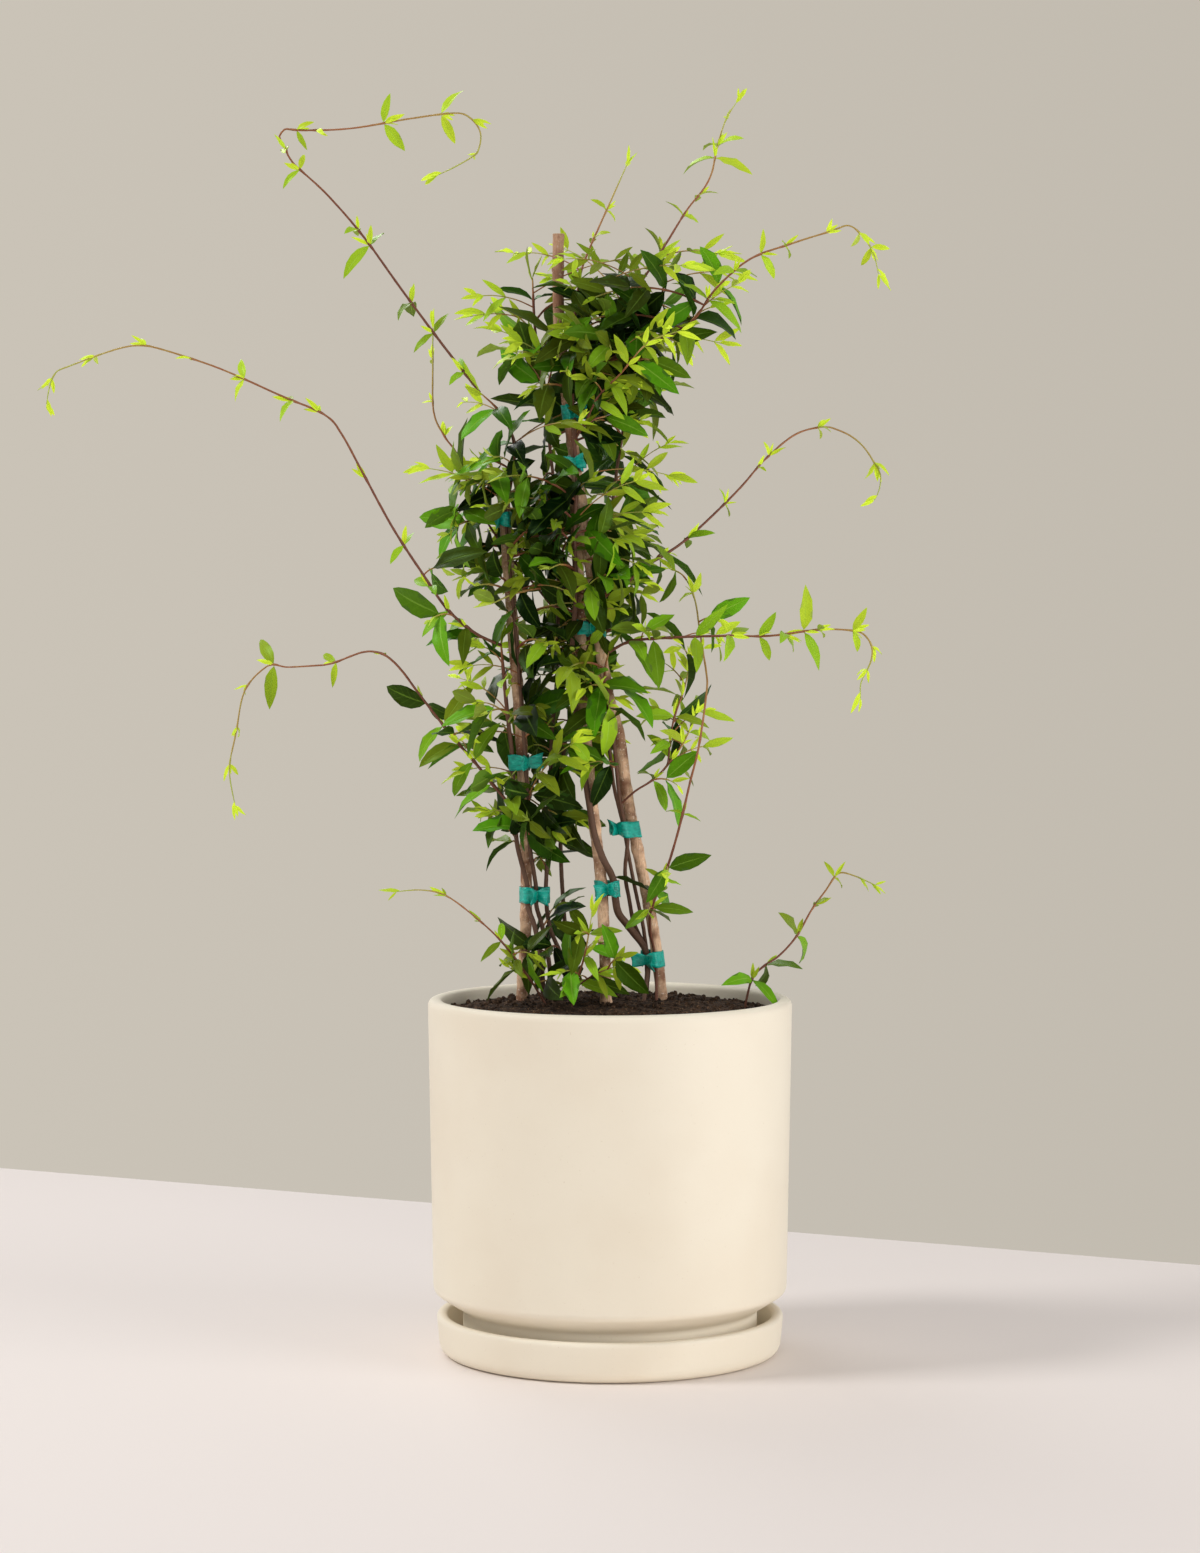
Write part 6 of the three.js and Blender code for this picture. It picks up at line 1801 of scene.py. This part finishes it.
def leaf_source(leaves, seed):
    """The source mesh of some leaves: a point for each, with its numbers in metres."""
    draw = np.random.default_rng(seed)
    titles = ("base", "ahead", "size", "half", "droop", "fold")
    pick = {title: np.array([leaf[title] for leaf in leaves]) for title in titles}
    pick["droop"] = np.where(abs(pick["droop"]) > LEAST_DROOP, pick["droop"], LEAST_DROOP)
    slim = np.array([RUNNER_SLIM if leaf["kind"] == "runner" else 1 for leaf in leaves])
    pick["base"], pick["size"], pick["half"] = pick["base"] * MM, pick["size"] * MM, pick["half"] * slim * MM
    shades = np.array([greens(leaf, draw) for leaf in leaves])
    faces = [turned_to_light(leaf) for leaf in leaves]
    twists = draw.uniform(-TWIST, TWIST, len(leaves))
    return point_mesh("leaf_points", pick["base"], [], face=faces, twist=twists, young=shades[:, 0],
                      tint=shades[:, 1], **pick)


for owner, name in enumerate(VINES):
    source = leaf_source(vine_leaves[owner], owner)
    leaves = grown(f"leaves_{name.split('_', 1)[1]}", source, leafing, card=card, material=foliage)
    for title in ("base", "ahead", "face", *numbers):
        leaves.data.attributes.remove(leaves.data.attributes[title])
    leaves.data.set_sharp_from_angle(angle=RIM_ANGLE)
    finished(leaves, [name])
bpy.data.objects.remove(card)

# %% [markdown]
# Nursery tape
#
# The ties are strips of teal plastic tape, stretched round a stake and its canes, with the two ends pinched
# together. A torus or a bent box would look like a ring, so each tie is a thin closed sheet made from a
# grid of points: a band that follows what it holds, drawn into a ridge at the pinch, and two short tails
# that flare out from there.

# %% Mix the tape's teal
TAPE_TEAL = colour(8, 180, 160)
TAPE_DEEP = colour(0, 142, 128)
TAPE_STRETCHED = colour(70, 210, 192)

tape, tree, shader, place = surface("teal_tape", 0.34)
rippled = noise(place.vector("MULTIPLY", (1.0, 1.0, 2.6)), 210.0, 3.0, 0.6)
dyed = mixed(rippled.between(0.3, 0.55), TAPE_DEEP, TAPE_TEAL)
dyed = mixed(rippled.between(0.58, 0.74) * 0.7, dyed, TAPE_STRETCHED)
feed(shader, Base_Color=dyed)
feed(shader, Roughness=noise(place, 130.0) * 0.2 + 0.22)
bump(shader, rippled, 0.0012, 0.7)

# %% Make a thin closed sheet from a grid of points


def thin_sheet(grid, thick, loops):
    """Points and faces of a closed sheet round a grid. Its rows may close on themselves, as in a band."""
    rows, columns = grid.shape[:2]
    along = np.roll(grid, -1, 0) - np.roll(grid, 1, 0) if loops else np.gradient(grid, axis=0)
    normal = np.cross(along, np.gradient(grid, axis=1))
    normal /= np.linalg.norm(normal, axis=2, keepdims=True)
    points = np.concatenate([(grid + normal * side * thick / 2).reshape(-1, 3) for side in (1, -1)])
    back = rows * columns
    steps = [(row, (row + 1) % rows) for row in range(rows if loops else rows - 1)]
    faces = []
    for row, following in steps:
        for column in range(columns - 1):
            a, b = row * columns + column, following * columns + column
            faces.append((a, b, b + 1, a + 1))
            faces.append((back + a, back + a + 1, back + b + 1, back + b))
        ends = (row * columns, following * columns), ((row + 1) * columns - 1, (following + 1) * columns - 1)
        for a, b in ends:
            faces.append((a, b, back + b, back + a))
    if not loops:
        for start in (0, (rows - 1) * columns):
            for a in range(start, start + columns - 1):
                faces.append((a, a + 1, back + a + 1, back + a))
    return points, faces


# %% Shape the band and the two tails of a tie
TAPE_THICK = 0.4
BAND_ROUND = 72
BAND_LEVELS = 8
HOLD_CORNERS = 16
PINCH_PULL = 1.9
PINCH_WIDE = 3.4
PINCH_SQUEEZE = 0.42
CREASE = 0.28
CREASE_WAVES = 11
CREASE_LEAN = 0.25
CREASE_FADE = 16
EDGE_WAVE = 0.45
EDGE_WAVES = 0.42
TAIL_LONG = (8, 4)
TAIL_STEPS = 7
TAIL_SPREAD = math.radians(38)
TAIL_RIPPLE = 1.1
TAIL_SWING = (0.7, 0.6)
TAIL_TILT = (-0.25, 0.5)
TAIL_NOTCH = 0.3
TAIL_OPENS = 0.7
TAIL_CURL = 2
TAIL_WAVES = 6
RIDGE_INSET = 0.6
PHASES = 6
TIE_SEEDS = (610, 97)
PINCHED_AT = {
    "tie_right_low": -112, "tie_right_high": -165, "tie_middle_low": -84, "tie_left_low": -70,
    "tie_left_mid": -60, "tie_right_mid": -110, "tie_left_top": -120, "tie_right_upper": -90,
    "tie_right_top": -75,
}


def evenly_round(corners, count, turn):
    """Points spaced evenly round an outline, the first of them in a direction, and their spacing."""
    closed = np.vstack([corners, corners[:1]])
    run = np.concatenate([[0], np.cumsum(np.linalg.norm(np.diff(closed, axis=0), axis=1))])
    places = np.arange(count) / count * run[-1]
    points = np.column_stack([np.interp(places, run, closed[:, axis]) for axis in (0, 1)])
    from_middle = points - corners.mean(axis=0)
    towards = from_middle @ np.array([math.cos(turn), math.sin(turn)]) / np.linalg.norm(from_middle, axis=1)
    return np.roll(points, -int(towards.argmax()), axis=0), run[-1] / count


def tie_sheets(stake, height, held, turn, draw):
    """The grids of a tie: the band, then its two tails."""
    ring, apart = evenly_round(round_held(held, TIE_GAP, HOLD_CORNERS), BAND_ROUND, turn)
    step = np.roll(ring, -2, axis=0) - np.roll(ring, 2, axis=0)
    out = np.column_stack([step[:, 1], -step[:, 0]])
    out /= np.linalg.norm(out, axis=1, keepdims=True)
    upright = np.array([*lean_of(stake_paths[stake], height), 1.0])
    number = np.arange(BAND_ROUND)
    from_pinch = np.minimum(number, BAND_ROUND - number) * apart
    near = np.exp(-((from_pinch / PINCH_WIDE) ** 2))
    phase = PHASES * next(draw)
    band = np.zeros((BAND_ROUND, BAND_LEVELS, 3))
    for level in range(BAND_LEVELS):
        across = level / (BAND_LEVELS - 1) - 0.5
        turned = across * CREASE_WAVES + phase + from_pinch * CREASE_LEAN
        fold = CREASE * np.sin(turned) * np.exp(-from_pinch / CREASE_FADE)
        wave = EDGE_WAVE * np.sin(number * apart * EDGE_WAVES + phase * 2) * across
        rise = across * TIE_HEIGHT * (1 - PINCH_SQUEEZE * near) + wave
        reach = TAPE_THICK / 2 + PINCH_PULL * near + fold
        band[:, level, :2] = ring + out * reach[:, None] + rise[:, None] * upright[:2]
        band[:, level, 2] = height + rise
    sheets = [band]
    ridge = np.array([*(ring[0] + out[0] * (PINCH_PULL - RIDGE_INSET)), height])
    for side in (-1, 1):
        spread_out = TAIL_SPREAD * drawn(TAIL_SWING, draw) * side
        away = np.array([
            out[0][0] * math.cos(spread_out) - out[0][1] * math.sin(spread_out),
            out[0][0] * math.sin(spread_out) + out[0][1] * math.cos(spread_out), drawn(TAIL_TILT, draw)])
        past = np.array([-away[1], away[0], 0]) * side
        size = drawn(TAIL_LONG, draw)
        phase = PHASES * next(draw)
        tail = np.zeros((TAIL_STEPS, BAND_LEVELS, 3))
        for at in range(TAIL_STEPS):
            share = at / (TAIL_STEPS - 1)
            for level in range(BAND_LEVELS):
                across = level / (BAND_LEVELS - 1) - 0.5
                notch = 1 + TAIL_NOTCH * abs(across) * share
                wide = across * TIE_HEIGHT * (1 - PINCH_SQUEEZE + PINCH_SQUEEZE * share ** TAIL_OPENS)
                ripple = TAIL_RIPPLE * share * math.sin(across * TAIL_WAVES + phase)
                out_of_line = past * (ripple + TAIL_CURL * share ** 2)
                tail[at, level] = ridge + away * size * share * notch + upright * wide + out_of_line
        sheets.append(tail)
    return sheets


for number, ((name, stake, height, vines), held) in enumerate(zip(TIES, tie_holds)):
    draw = draws(TIE_SEEDS[0] + number * TIE_SEEDS[1])
    points, faces = np.zeros((0, 3)), []
    for at, grid in enumerate(tie_sheets(stake, height, held, math.radians(PINCHED_AT[name]), draw)):
        more, sides = thin_sheet(grid, TAPE_THICK, at == 0)
        faces += [tuple(corner + len(points) for corner in side) for side in sides]
        points = np.concatenate([points, more])
    tied = piece_from(f"tape_{name[4:]}", points * MM, faces, tape)
    cleaned(tied)
    finished(tied, [name])

# %% Measure the sizes and finish
visual_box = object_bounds()
sizes = {"cad": [list(corner) for corner in CAD_BOX], "visual": [list(corner) for corner in visual_box]}
print("visual box", sizes["visual"])
